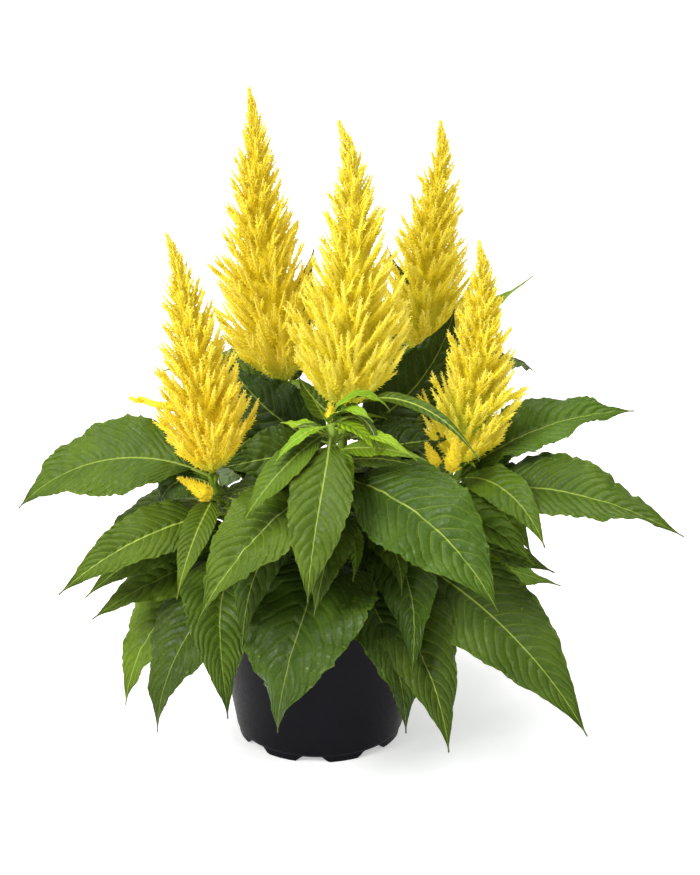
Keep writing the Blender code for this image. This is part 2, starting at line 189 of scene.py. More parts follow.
def mixColour(tree, share, first, second, kind="MIX"):
    # from the first colour to the second, or to their product, by the share
    made = put(tree, "ShaderNodeMix", {0: share, 6: first, 7: second}, data_type="RGBA", blend_type=kind)
    return made.outputs[2]


def ramp(tree, value, low, high, toLow=0.0, toHigh=1.0):
    # smooth step of the value between low and high, carried to the two results
    values = {"Value": value, "From Min": low, "From Max": high, "To Min": toLow, "To Max": toHigh}
    return put(tree, "ShaderNodeMapRange", values, interpolation_type="SMOOTHSTEP").outputs["Result"]


def attributeParts(tree, name):
    # the three numbers of a vector stored on the mesh
    found = put(tree, "ShaderNodeAttribute", attribute_name=name)
    return put(tree, "ShaderNodeSeparateXYZ", {"Vector": found.outputs["Vector"]}).outputs


def startGroup(name, sockets, results):
    # group with its named inputs and outputs, and the sockets that carry what it is given
    group = bpy.data.node_groups.new(name, "ShaderNodeTree")
    for title, kind, value in sockets:
        made = group.interface.new_socket(title, in_out="INPUT", socket_type="NodeSocket" + kind)
        made.default_value = value
    for title, kind in results:
        group.interface.new_socket(title, in_out="OUTPUT", socket_type="NodeSocket" + kind)
    return group, put(group, "NodeGroupInput").outputs


def makeMottleGroup():
    # uneven colour at two sizes: large clouds shift the colour, small flecks darken it
    group, given = startGroup("unevenColour", (
        ("Colour", "Color", (1, 1, 1, 1)),
        ("Other Colour", "Color", (1, 1, 1, 1)),
        ("Vector", "Vector", (0, 0, 0)),
        ("Large Scale", "Float", 30),
        ("Small Scale", "Float", 300),
        ("Amount", "Float", 0.5),
    ), (("Colour", "Color"), ("Mask", "Float")))

    def noise(scale, detail):
        # share from 0 to 1 of a cloud noise at the scale that the group is given
        values = {"Vector": given["Vector"], "Scale": given[scale], "Detail": detail}
        return put(group, "ShaderNodeTexNoise", values).outputs["Fac"]

    large, small = noise("Large Scale", 3), noise("Small Scale", 4)
    share = calc(group, "MULTIPLY", ramp(group, large, 0.35, 0.68), given["Amount"])
    cloud = mixColour(group, share, given["Colour"], given["Other Colour"])
    fleck = calc(group, "MULTIPLY", ramp(group, small, 0.35, 0.7), given["Amount"])
    dark = mixColour(group, calc(group, "MULTIPLY", fleck, 0.35), cloud, (0.25, 0.25, 0.25, 1), "MULTIPLY")
    put(group, "NodeGroupOutput", {"Colour": dark, "Mask": small})
    return group


def makeGrainGroup():
    # height of a fine grain: noise mixed with a net of rounded cells
    group, given = startGroup("fineGrain", (
        ("Vector", "Vector", (0, 0, 0)),
        ("Noise Scale", "Float", 800),
        ("Cell Scale", "Float", 900),
        ("Cell Share", "Float", 0.5),
    ), (("Height", "Float"),))
    values = {"Vector": given["Vector"], "Scale": given["Noise Scale"], "Detail": 5}
    noise = put(group, "ShaderNodeTexNoise", values).outputs["Fac"]
    values = {"Vector": given["Vector"], "Scale": given["Cell Scale"]}
    cells = put(group, "ShaderNodeTexVoronoi", values).outputs["Distance"]
    mixed = put(group, "ShaderNodeMix", {0: given["Cell Share"], 2: noise, 3: cells}).outputs[0]
    put(group, "NodeGroupOutput", {"Height": mixed})
    return group


mottleGroup = makeMottleGroup()
grainGroup = makeGrainGroup()


def startMaterial(name, look):
    # a plain shader with the constants on its own sockets, and the object's own coordinates
    material = bpy.data.materials.new(name)
    material.use_nodes = True
    tree = material.node_tree
    shader = tree.nodes["Principled BSDF"]
    share, radius, depth = look.get("subsurface", (0.0, (1, 1, 1), 1.0))
    shader.inputs["Roughness"].default_value = look["roughness"]
    shader.inputs["Specular IOR Level"].default_value = look["shine"]
    shader.inputs["Subsurface Weight"].default_value = share
    shader.inputs["Subsurface Radius"].default_value = radius
    shader.inputs["Subsurface Scale"].default_value = depth * mm
    return material, tree, shader, put(tree, "ShaderNodeTexCoord").outputs["Object"]


def mottled(tree, place, look, colour, other):
    # the uneven colour group between two colours, at the look's large and small scale, by its amount
    large, small, amount = look["mottle"]
    values = {
        "Vector": place, "Colour": colour, "Other Colour": other,
        "Large Scale": large, "Small Scale": small, "Amount": amount,
    }
    return put(tree, "ShaderNodeGroup", values, node_tree=mottleGroup).outputs


def grained(tree, shader, place, look, extra=None):
    # bump from the look's fine grain, with another height added where one is given, in mm
    noiseScale, cellScale, cellShare, depth = look["grain"]
    values = {"Vector": place, "Noise Scale": noiseScale, "Cell Scale": cellScale, "Cell Share": cellShare}
    made = put(tree, "ShaderNodeGroup", values, node_tree=grainGroup)
    height = calc(tree, "MULTIPLY", made.outputs["Height"], depth)
    if extra is not None:
        height = calc(tree, "ADD", height, extra)
    bump = put(tree, "ShaderNodeBump", {"Height": height, "Strength": 1.0, "Distance": mm})
    tree.links.new(bump.outputs["Normal"], shader.inputs["Normal"])


def plainMaterial(name, look):
    # uneven colour between the look's two colours, over its fine grain, and flecked roughness if asked
    material, tree, shader, place = startMaterial(name, look)
    mottle = mottled(tree, place, look, look["colour"], look["otherColour"])
    tree.links.new(mottle["Colour"], shader.inputs["Base Color"])
    if "flecked" in look:
        tree.links.new(ramp(tree, mottle["Mask"], *look["flecked"]), shader.inputs["Roughness"])
    grained(tree, shader, place, look)
    return material


# the pot

potLook = {
    "height": 108,
    "rimRadius": 70,
    "footRadius": 51,
    "wall": 1.6,
    "rimBand": 13,
    "rimStep": 1.5,
    "lip": 2.3,  # width of the rim's upper face
    "footHeight": 4.4,
    "footInset": 0.9,  # of the foot ring from the wall above it
    "footWidth": 3,
    "centreFoot": 14,
    "centreHole": 0.4,  # radius of the first ring of points round the middle
    "edge": 0.7,  # rounding of every edge
    "sides": 192,
    "notches": 8,
    "notchBottom": 21,
    "notchTop": 12,
    "notchHeight": 4.1,
    "notchTurn": -95,
    "notchInside": 40,  # only what lies further out is notched
    "drainRadius": 4,
    "drainCircle": 36,
    "drainSides": 24,
    "drainCut": (1.0, 9.0),  # bottom and top of the drill
    "colour": (0.0036, 0.003, 0.0052, 1),
    "otherColour": (0.0066, 0.0058, 0.009, 1),
    "mottle": (22, 420, 0.45),
    "roughness": 0.4,
    "flecked": (0.3, 0.7, 0.36, 0.46),
    "shine": 0.06,
    "grain": (1500, 1900, 0.6, 0.02),
}


def wallRadius(height):
    # straight taper from the foot to the rim
    share = (height - potLook["footHeight"]) / (potLook["height"] - potLook["footHeight"])
    return potLook["footRadius"] + share * (potLook["rimRadius"] - potLook["rimStep"] - potLook["footRadius"])


def rounded(corners, radius, steps=4):
    # each corner replaced by a short curve: a quadratic bend between points at the given distance from it
    corners = np.array(corners, float)
    made = [corners[:1]]
    for before, corner, after in zip(corners, corners[1:], corners[2:]):
        back, ahead = before - corner, after - corner
        start = corner + unit(back) * min(radius, np.linalg.norm(back) * 0.45)
        end = corner + unit(ahead) * min(radius, np.linalg.norm(ahead) * 0.45)
        made.append(bezier(start, corner, end, np.linspace(0, 1, steps + 1))[0])
    made.append(corners[-1:])
    return np.concatenate(made)


def makePot():
    # a profile of radius and height, from the foot over the rim to the floor, turned round the axis
    look = potLook
    top, band, foot = look["height"], look["height"] - look["rimBand"], look["footHeight"]
    floor = foot + look["wall"]
    hole, centre, width = look["centreHole"], look["centreFoot"], look["footWidth"]
    outer = look["footRadius"] - look["footInset"]
    corners = [
        (hole, 0), (centre, 0), (centre, foot), (outer - width, foot), (outer - width, 0), (outer - 0.4, 0),
        (outer, foot), (look["footRadius"], foot + look["footInset"]),
        (wallRadius(band), band - look["rimStep"]), (look["rimRadius"] - 0.6, band),
        (look["rimRadius"], top), (look["rimRadius"] - look["lip"], top),
        (wallRadius(band) - look["wall"], band), (wallRadius(floor) - look["wall"], floor), (hole, floor),
    ]
    profile = rounded(corners, look["edge"])
    sides = look["sides"]
    turn = np.arange(sides) * 2 * math.pi / sides
    height = np.repeat(profile[:, 1:], sides, 1)
    radius = np.repeat(profile[:, :1], sides, 1)
    # the foot ring is lifted where a notch runs through it, with slanting ends
    gap = 2 * math.pi / look["notches"]
    offset = (turn - math.radians(look["notchTurn"]) + gap / 2) % gap - gap / 2
    arc = np.abs(offset) * look["footRadius"]
    lift = np.clip((look["notchBottom"] / 2 - arc) / (look["notchBottom"] - look["notchTop"]) * 2, 0, 1)
    ring = (radius > look["notchInside"]) & (height < look["notchHeight"])
    height = np.where(ring, np.maximum(height, lift * look["notchHeight"]), height)
    rings = np.stack((radius * np.cos(turn), radius * np.sin(turn), height), -1)
    body = tubePart(rings, np.zeros(3), np.array((0.0, 0.0, floor)))
    pot = addPiece("potBody", [body], [plainMaterial("potPlastic", look)], 30, ("pot",))
    drillDrains(pot, math.radians(look["notchTurn"]), gap)


def drillDrains(pot, start, gap):
    # upright closed tubes on a circle, one behind each notch, cut from the floor and removed
    look = potLook
    drills = []
    for number in range(look["notches"]):
        turn = start + gap * number
        centre = look["drainCircle"] * np.array((math.cos(turn), math.sin(turn), 0))
        path = centre + np.array([(0, 0, level) for level in look["drainCut"]])
        across = np.array(((1.0, 0, 0),) * 2)
        along = np.array(((0, 1.0, 0),) * 2)
        rings = ringsRound(path, across, along, np.full(2, float(look["drainRadius"])), look["drainSides"])
        points, (quads, fans) = closedTubes(rings[None], path[None, 0], path[None, 1])
        mesh = bpy.data.meshes.new("drill")
        mesh.from_pydata((points.reshape(-1, 3) * mm).tolist(), [], quads.tolist() + fans.tolist())
        drill = bpy.data.objects.new("drill", mesh)
        bpy.context.scene.collection.objects.link(drill)
        drills.append(drill)
    for drill in drills:
        cut = pot.modifiers.new("drain", "BOOLEAN")
        cut.object = drill
        cut.operation = "DIFFERENCE"
        cut.solver = "EXACT"
    drilled = bpy.data.meshes.new_from_object(pot.evaluated_get(bpy.context.evaluated_depsgraph_get()))
    pot.modifiers.clear()
    pot.data = drilled
    for drill in drills:
        bpy.data.objects.remove(drill, do_unlink=True)


makePot()

# the soil

soilLook = {
    "top": 96,
    "lump": 1.6,
    "clear": 0.3,  # gap to the pot
    "settle": 8,  # width of the smooth edge at the wall
    "rings": 34,
    "sides": 110,
    "crumbs": 460,
    "crumbSize": (0.5, 1.8),
    "crumbSides": 6,
    "crumbGirth": (0.75, 1.0, 0.7),  # of its three rings
    "colour": (0.036, 0.021, 0.012, 1),
    "otherColour": (0.11, 0.068, 0.038, 1),
    "mottle": (160, 900, 0.75),
    "roughness": 0.93,
    "shine": 0.25,
    "grain": (700, 480, 0.5, 0.9),
}


def soilHeight(x, y):
    # low uneven lumps: product of two sines plus a slanting sine
    lumps = np.sin(x / 6.3 + 1.1) * np.sin(y / 5.1) + np.sin((x + y) / 9.7 + 2)
    return soilLook["top"] + soilLook["lump"] * (lumps / 2 - 0.5)


def soilBody(floor, edge, outer):
    # rings that close in over the top: lumps plus two finer products of sines, settled flat at the wall
    look = soilLook
    turn = np.arange(look["sides"]) * 2 * math.pi / look["sides"]
    radius = outer * (1 - np.arange(look["rings"])[:, None] / look["rings"]) * np.ones(look["sides"])
    x, y = radius * np.cos(turn), radius * np.sin(turn)
    crumb = 0.5 * np.sin(x * 1.9 + np.sin(y * 1.3) * 2) * np.sin(y * 2.1 + np.sin(x * 0.9) * 2)
    crumb += 0.3 * np.sin(x * 4.3 + y * 3.1) * np.sin(y * 4.9 - x * 2.2)
    settle = smooth((outer - radius) / look["settle"])
    height = edge + settle * (soilHeight(x, y) - edge) + settle * crumb
    low = wallRadius(floor) - potLook["wall"] - look["clear"]
    foot = np.stack((low * np.cos(turn), low * np.sin(turn), np.full(look["sides"], floor)), -1)
    rings = np.concatenate((foot[None], np.stack((x, y, height), -1)))
    return tubePart(rings, np.array((0, 0, floor)), np.array((0, 0, height[-1].mean())))


def soilCrumbs(outer):
    # small six-sided lumps, each turned and sized at random, half sunk in the surface
    look = soilLook
    draw = np.random.default_rng(11)
    count = look["crumbs"]
    reach = (outer - 3) * np.sqrt(draw.random(count))
    angle = draw.random(count) * 2 * math.pi
    middle = np.stack((reach * np.cos(angle), reach * np.sin(angle)), -1)
    least, most = look["crumbSize"]
    size = least + (most - least) * draw.random(count) ** 3
    level = soilHeight(middle[:, 0], middle[:, 1]) - 0.1
    centre = np.concatenate((middle, level[:, None]), 1)
    axis = unit(draw.normal(size=(count, 3)))
    across, along = square(axis, unit(draw.normal(size=(count, 3))))
    steps = np.array((-0.6, 0.0, 0.6))
    path = centre[:, None] + size[:, None, None] * steps[:, None] * axis[:, None]
    girth = size[:, None] * np.array(look["crumbGirth"]) * (0.8 + 0.4 * draw.random((count, 3)))
    lumps = ringsRound(path, across[:, None], along[:, None], girth, look["crumbSides"])
    tips = size[:, None] * axis
    return part(*closedTubes(lumps, centre - tips, centre + tips))


def makeSoil():
    # the body from the pot's floor to its uneven top, and the crumbs on it
    look = soilLook
    floor = potLook["footHeight"] + potLook["wall"] + look["clear"]
    edge = look["top"] - 2 * look["lump"]
    outer = wallRadius(edge) - potLook["wall"] - look["clear"]
    parts = [soilBody(floor, edge, outer), soilCrumbs(outer)]
    addPiece("soilBed", parts, [plainMaterial("soilCrumb", look)], 60, ("soil",))


makeSoil()

# the leafy stems

# each stem: foot on the soil (x, y), top (x, y, z) and radius at the foot
stems = {
    "left": ((-13, -7), (-61, -45, 188), 3.4),
    "back_left": ((-8, 12), (-21, 45, 211), 3.4),
    "centre": ((2, 3), (16, -15, 220), 3.6),
    "back_right": ((12, 13), (66, 60, 222), 3.4),
    "right": ((17, -5), (84, -15, 181), 3.4),
    "front": ((3, -17), (8, -60, 226), 3.0),
}

# each leaf: height of its root on the stem, heading, how far the heading turns on the way to the tip,
# length, rise at the root, rise at the tip, width, roll round the midrib, and freshness from 0, old and
# dark, to 1, lime; the freshness also paints each leaf's light and shade, low for shaded leaves and high
# for backlit ones
leaves = {
    "left": (
        (184, 160, 20, 130, 20, -50, 52, -45, 0.5),
        (150, 165, 20, 100, 35, -65, 30, -10, 0.4),
        (158, -145, -15, 120, 10, -40, 34, -35, 0.45),
        (142, -155, 0, 115, 15, -40, 30, -35, 0.4),
        (126, -150, -5, 125, 10, -30, 40, -35, 0.45),
        (112, -155, 10, 150, 20, -85, 50, -30, 0.62),
        (114, -130, -10, 155, 20, -90, 54, -20, 0.12),
        (124, -135, 75, 148, 25, -85, 48, 0, 0.35),
        (174, -105, -10, 80, 0, -65, 18, -15, 0.5),
        (172, 165, 30, 50, 55, -95, 30, -30, 0.2),
        (140, 150, -10, 110, 20, -50, 40, -10, 0.35),
        (120, 140, 10, 130, 20, -70, 44, 20, 0.3),
    ),
    "front": (
        (182, -125, -15, 125, 5, -55, 48, -20, 0.5),
        (132, -130, 25, 125, 50, -85, 34, 0, 0.3),
        (126, -90, -40, 145, 20, -90, 78, -10, 0.25),
        (162, -80, -35, 95, 20, -65, 30, 0, 0.45),
        (218, -95, -20, 105, -20, -85, 36, 0, 0.5),
        (188, -35, -5, 135, 5, -55, 58, 35, 0.56),
        (160, -50, -55, 65, 0, -35, 12, 0, 0.7),
        (208, -170, 20, 65, -5, 0, 36, -40, 0.1),
        (220, -135, -10, 80, -10, -55, 20, -20, 0.6),
        (222, -140, 0, 45, 15, -50, 10, 0, 1.0),
        (217, -55, 15, 45, 80, -30, 14, 0, 1.0),
        (223, -50, 5, 40, 30, -50, 14, 5, 1.0),
        (218, -25, -20, 40, 45, -55, 14, 20, 1.0),
        (205, -35, 5, 65, 25, -10, 14, 30, 0.75),
        (116, -60, -5, 140, 20, -90, 48, 5, 0.15),
    ),
    "centre": (
        (104, -57, 0, 172, 25, -80, 56, 5, 0.2),
        (132, -35, -70, 145, 20, -65, 40, 15, 0.25),
        (144, -35, -60, 100, 10, -30, 24, 20, 0.35),
        (214, -40, 10, 105, 40, -55, 9, 20, 0.45),
        (198, 25, 10, 105, 10, 75, 44, 60, 0.1),
        (190, 150, -5, 95, 0, 55, 46, -60, 0.1),
        (170, -140, -20, 80, 15, -10, 36, -20, 0.2),
        (176, -40, 10, 90, 10, -20, 40, 30, 0.3),
    ),
    "right": (
        (126, -50, 25, 185, 5, -60, 56, 35, 0.3),
        (162, -25, 5, 150, 20, -25, 46, 30, 0.45),
        (168, -50, 0, 90, 35, -60, 26, 20, 0.6),
        (148, 0, -35, 80, 30, -65, 28, 30, 0.6),
        (142, -40, 0, 100, 35, -40, 28, 35, 0.65),
        (130, -5, -5, 105, 5, -25, 30, 35, 0.45),
        (128, 25, -10, 130, -20, -25, 40, 40, 0.8),
        (170, 10, -10, 115, 40, 0, 44, 15, 0.6),
        (164, 35, 0, 65, 30, 20, 14, 10, 0.8),
    ),
    "back_right": (
        (150, 15, 15, 115, 20, -20, 42, 10, 0.4),
        (214, 5, 20, 85, 45, 30, 14, 5, 0.8),
        (190, 40, 10, 120, 30, -40, 44, 0, 0.4),
        (170, 75, 0, 140, 20, -45, 52, 0, 0.35),
        (140, 50, 0, 150, 25, -60, 54, 0, 0.3),
        (120, 75, 10, 150, 25, -75, 50, 5, 0.2),
        (126, 25, 0, 140, 25, -70, 46, 0, 0.3),
        (205, 100, 0, 90, 35, -30, 36, 0, 0.5),
    ),
    "back_left": (
        (190, 130, 0, 120, 25, -35, 46, 0, 0.4),
        (172, 95, 0, 140, 20, -40, 54, 0, 0.4),
        (150, 150, 0, 140, 20, -50, 52, 0, 0.35),
        (132, 115, 0, 150, 25, -60, 54, 0, 0.3),
        (116, 90, 10, 150, 25, -80, 48, 0, 0.2),
        (120, 145, -10, 140, 25, -75, 46, 0, 0.3),
        (202, 60, 0, 85, 40, -30, 34, 0, 0.5),
        (200, 170, 0, 80, 35, -20, 34, 0, 0.5),
        (165, -160, 0, 70, 25, -20, 34, -20, 0.3),
    ),
}

# leaves that the solids leave out, in the same nine values: small ones round the young shoots, and inner
# ones that fill the middle, coloured old and dark as painted shade for the shaded middle of the plant
innerLeaves = {
    "left": (
        (150, -80, 0, 40, 0, -40, 16, 0, 0.9),
        (150, -30, 0, 60, 30, 0, 30, 0, 0.1),
        (170, -60, 0, 50, 20, -20, 20, 0, 0.2),
    ),
    "front": (
        (222, 160, 0, 20, 50, 60, 4, 0, 0.8),
        (221, -38, 0, 62, 15, -25, 11, 10, 0.85),
        (223, 8, -20, 46, 85, -60, 13, 0, 0.9),
        (225, -20, -50, 44, 45, -75, 9, 0, 0.2),
        (214, 150, 0, 34, 20, -10, 12, 0, 0.9),
        (196, -20, 0, 50, 25, -10, 16, 20, 0.5),
        (212, -62, 0, 34, -20, -50, 11, 20, 0.8),
        (190, -150, 0, 52, 20, -30, 18, -20, 0.55),
    ),
    "centre": (
        (206, 165, -10, 40, 25, 60, 15, -50, 0.4),
        (196, 10, 10, 60, 0, 30, 24, 40, 0.4),
        (185, -10, 0, 70, 15, 10, 34, 30, 0.05),
        (178, -75, 0, 62, 30, -10, 30, 0, 0.05),
        (160, -95, 0, 60, 30, -20, 32, 0, 0.05),
    ),
    "right": (
        (168, 20, 10, 52, 35, 5, 32, 10, 0.75),
        (176, -30, 0, 38, 60, 70, 9, 0, 0.7),
        (170, -170, 0, 42, 35, 45, 12, 0, 0.45),
        (168, -30, 0, 45, 10, -15, 12, 0, 0.85),
        (150, -150, 0, 60, 20, 0, 28, 0, 0.1),
    ),
    "back_left": (
        (180, -165, 0, 75, 10, 10, 30, -40, 0.1),
        (190, -120, 0, 70, 0, -10, 30, 0, 0.1),
        (150, -110, 0, 70, 20, 0, 40, 0, 0.05),
        (207, 60, 0, 84, 70, 60, 22, 0, 0.4),
    ),
    "back_right": (
        (180, -140, 0, 70, 10, 0, 36, 0, 0.1),
        (160, -120, 0, 75, 10, 0, 40, 0, 0.05),
        (214, 150, 0, 78, 72, 65, 20, 0, 0.4),
    ),
}

# each twig: its stem, the height of its root, its end and the tip of its plume
twigs = {
    "left_side": ("left", 166, (-61, -55, 176), (-80, -58, 190)),
    "right_side": ("right", 166, (77, -46, 189), (80, -52, 215)),
    "right_side_small": ("right", 160, (69, -40, 190), (62, -45, 206)),
}

farPhase = 20.5  # half way between two side veins, for points that none of them crosses

leafLook = {
    "petioleShare": 0.1,  # of the leaf's length
    "rollShare": 0.33,  # of the leaf's length in which it rolls over
    "fold": 0.2,
    "foldRange": (0.3, 1.5),
    "wave": 0.09,
    "wavePitch": 8,
    "crimp": 0.03,  # small waves of the margin
    "crimpPitch": 38,
    "notch": 0.05,  # uneven outline
    "notchPitch": (24, 34),
    "twist": 26,
    "crinkled": {"front": (0, 8), "left": (8,)},  # rows of the table whose blades are blistered
    "widest": 0.38,
    "base": 0.9,
    "bigRows": 76,
    "bigColumns": 8,  # on each side of the midrib
    "smallRows": 26,
    "smallColumns": 4,
    "smallWidth": 24,
    "wideWidth": 70,
    "thickness": 0.5,
    "tipLength": 0.8,
    "veinSpacing": 6.6,
    "veinRange": (0.85, 1.3),
    "smallVeins": 0.6,  # spacing on small leaves, as a share
    "wideVeins": 1.3,  # spacing on wide leaves, as a share
    "veinStagger": (0.25, 0.6),  # of the spacing, between the two halves
    "veinWander": (0.16, 0.1),
    "wanderPitch": 9,
    "contrastRange": (0.3, 0.95),
    "relief": 0.42,
    "reliefRange": (0.6, 1.3),
    "smallRelief": 0.35,
    "groove": 0.25,  # width of the groove over a vein, as a share of the spacing
    "buckle": 0.03,
    "blister": 2.6,
    # colours by freshness, which also paint light and shade: dark old for shaded leaves, light lime for
    # backlit ones
    "old": (0.024, 0.047, 0.003, 1),
    "middle": (0.062, 0.105, 0.006, 1),
    "freshAndLit": (0.22, 0.36, 0.010, 1),
    "vein": (0.22, 0.32, 0.025, 1),
    "rib": (0.34, 0.44, 0.07, 1),
    "underside": (0.11, 0.18, 0.04, 1),
    "undersideShare": 0.55,
    "leafShade": (0.6, 0.74, 1.0, 1),  # multiplies the blade, by each leaf's own chance
    "innerShade": (0.72, 0.78, 0.8, 1),  # multiplies it by the midrib, as painted shade in the fold there
    "lightShade": (1.7, 1.55, 1.3, 1),  # multiplies it in the light clouds
    "haloShare": 0.1,
    "netShare": 0.12,
    "netScale": 520,
    "veinSink": -0.2,
    "netSink": -0.05,
    "domeRise": 0.5,
    "mottle": (42, 500, 0.6),
    "roughness": 0.4,
    "flecked": (0.3, 0.75, 0.34, 0.54),
    "shine": 0.15,
    "subsurface": (0.08, (0.7, 1.0, 0.15), 0.8),
    "grain": (300, 520, 0.35, 0.34),
}

stemLook = {
    "bottom": 66,  # in the soil
    "upright": 99,  # where it begins to lean
    "sides": 20,
    "rings": 72,
    "taper": 0.66,
    "ridges": 5,
    "ridge": 0.05,
    "node": 0.5,  # swelling at each leaf, and half its height
    "nodeHeight": 2.2,
    "twigRadius": 1.3,
    "twigSides": 12,
    "twigRings": 17,
    "colour": (0.17, 0.28, 0.02, 1),
    "otherColour": (0.29, 0.40, 0.06, 1),
    "mottle": (60, 600, 0.5),
    "roughness": 0.42,
    "shine": 0.25,
    "subsurface": (0.15, (0.7, 1.0, 0.3), 1.2),
    "grain": (900, 1200, 0.4, 0.12),
}

youngLook = {
    "count": 11,
    "below": (78, 4),  # of the lowest and the highest, from the top of the stem
    "length": (30, 46),
    "shorter": 0.35,  # towards the top
    "slimness": (0.2, 0.3),
    "scatter": 20,
    "turn": (-25, 25),
    "rootRise": (35, 60),
    "tipRise": (-50, -5),
    "roll": (-15, 15),
    "freshAndLit": (0.45, 0.9),
}


def leafMaterial():
    # blade colour by age, which also paints each leaf's light and shade, veined by the distance to the
    # nearest side vein and to the midrib
    look = leafLook
    material, tree, shader, place = startMaterial("leafBlade", look)
    along, across, away = attributeParts(tree, "place")
    chance, freshAndLit, under = attributeParts(tree, "tone")
    phase, spacing, contrast = attributeParts(tree, "vein")
    # distance to the nearest side vein, in mm
    near = calc(tree, "PINGPONG", phase, 0.5)
    distance = calc(tree, "MULTIPLY", near, spacing)
    inward = ramp(tree, calc(tree, "ABSOLUTE", across), 0.35, 1.0, 1.0, 0.45)
    lateral = calc(tree, "MULTIPLY", ramp(tree, distance, 0.06, 0.42, 1.0, 0.0), inward)
    halo = calc(tree, "MULTIPLY", ramp(tree, distance, 0.0, 2.4, 1.0, 0.0), inward)
    fromRib = calc(tree, "ADD", away, calc(tree, "MULTIPLY", along, 0.55))
    rib = ramp(tree, fromRib, 0.35, 0.95, 1.0, 0.0)
    dome = ramp(tree, distance, 0.0, 3.0)
    # by freshness: the leaf's age, and painted light and shade on the whole leaf
    older = mixColour(tree, ramp(tree, freshAndLit, 0.0, 0.5), look["old"], look["middle"])
    blade = mixColour(tree, ramp(tree, freshAndLit, 0.5, 1.0), older, look["freshAndLit"])
    shade = mixColour(tree, chance, blade, look["leafShade"], "MULTIPLY")
    # painted shade: darker where the blade meets its midrib, as in the shade of the fold there, lighter
    # towards the margin and the tip
    outward = ramp(tree, calc(tree, "ADD", calc(tree, "ABSOLUTE", across), along), 0.1, 1.5)
    deeper = mixColour(tree, outward, mixColour(tree, 1.0, shade, look["innerShade"], "MULTIPLY"), shade)
    lighter = mixColour(tree, 1.0, deeper, look["lightShade"], "MULTIPLY")
    mottle = mottled(tree, place, look, deeper, lighter)
    veinTone = mixColour(tree, 0.5, blade, look["vein"])
    haloed = mixColour(tree, calc(tree, "MULTIPLY", halo, look["haloShare"]), mottle["Colour"], veinTone)
    # a net of the finest veins between the side veins
    values = {"Vector": place, "Scale": look["netScale"]}
    net = put(tree, "ShaderNodeTexVoronoi", values, feature="DISTANCE_TO_EDGE").outputs["Distance"]
    netLine = ramp(tree, net, 0.0, 0.12, 1.0, 0.0)
    netted = mixColour(tree, calc(tree, "MULTIPLY", netLine, look["netShare"]), haloed, veinTone)
    veined = mixColour(tree, calc(tree, "MULTIPLY", lateral, contrast), netted, veinTone)
    ribShare = ramp(tree, contrast, 0.2, 0.9, 0.5, 0.9)
    ribbed = mixColour(tree, calc(tree, "MULTIPLY", rib, ribShare), veined, look["rib"])
    underShare = calc(tree, "MULTIPLY", under, look["undersideShare"])
    tree.links.new(mixColour(tree, underShare, ribbed, look["underside"]), shader.inputs["Base Color"])
    tree.links.new(ramp(tree, mottle["Mask"], *look["flecked"]), shader.inputs["Roughness"])
    sunk = calc(tree, "MULTIPLY", calc(tree, "MAXIMUM", lateral, rib), look["veinSink"])
    sunk = calc(tree, "ADD", sunk, calc(tree, "MULTIPLY", netLine, look["netSink"]))
    sunk = calc(tree, "ADD", sunk, calc(tree, "MULTIPLY", dome, look["domeRise"]))
    grained(tree, shader, place, look, sunk)
    return material


def leaning(stem, height):
    # smooth step of the height, from where the stem begins to lean to its top
    start = stemLook["upright"]
    return smooth((height - start) / (stems[stem][1][2] - start))


def stemPoint(stem, height):
    # upright in the soil, leaning out by the smooth step, then upright under its plume
    foot, top = stems[stem][:2]
    share = leaning(stem, height)
    return np.stack((foot[0] + share * (top[0] - foot[0]), foot[1] + share * (top[1] - foot[1]), height), -1)


def leafHeading(leaf, share):
    # the heading and the climb both change evenly from root to tip
    turn = np.radians(leaf[1] + leaf[2] * share)
    climb = np.radians(leaf[4] + (leaf[5] - leaf[4]) * share)
    level = np.stack((np.cos(turn), np.sin(turn), 0 * turn), -1)
    direction = np.cos(climb)[:, None] * level + np.sin(climb)[:, None] * upward
    return direction, np.cross(level, upward)


def leafPath(stem, leaf, shares):
    # points summed in short steps along the changing direction, and the side turned by the roll
    fine = np.linspace(0, 1, 241)
    middle = (fine[1:] + fine[:-1]) / 2 - 1 / 48
    steps = leafHeading(leaf, middle)[0] * leaf[3] / 240
    root = stemPoint(stem, np.array([leaf[0]], float))
    points = np.concatenate((root, root + np.cumsum(steps, 0)))
    path = np.stack([np.interp(shares, fine, points[:, axis]) for axis in range(3)], -1)
    direction, side = leafHeading(leaf, shares)
    turn = np.radians(leaf[7]) * np.minimum(1, shares / leafLook["rollShare"])
    side = side * np.cos(turn)[:, None] + np.cross(direction, side) * np.sin(turn)[:, None]
    return path, direction, side, np.cross(side, direction)


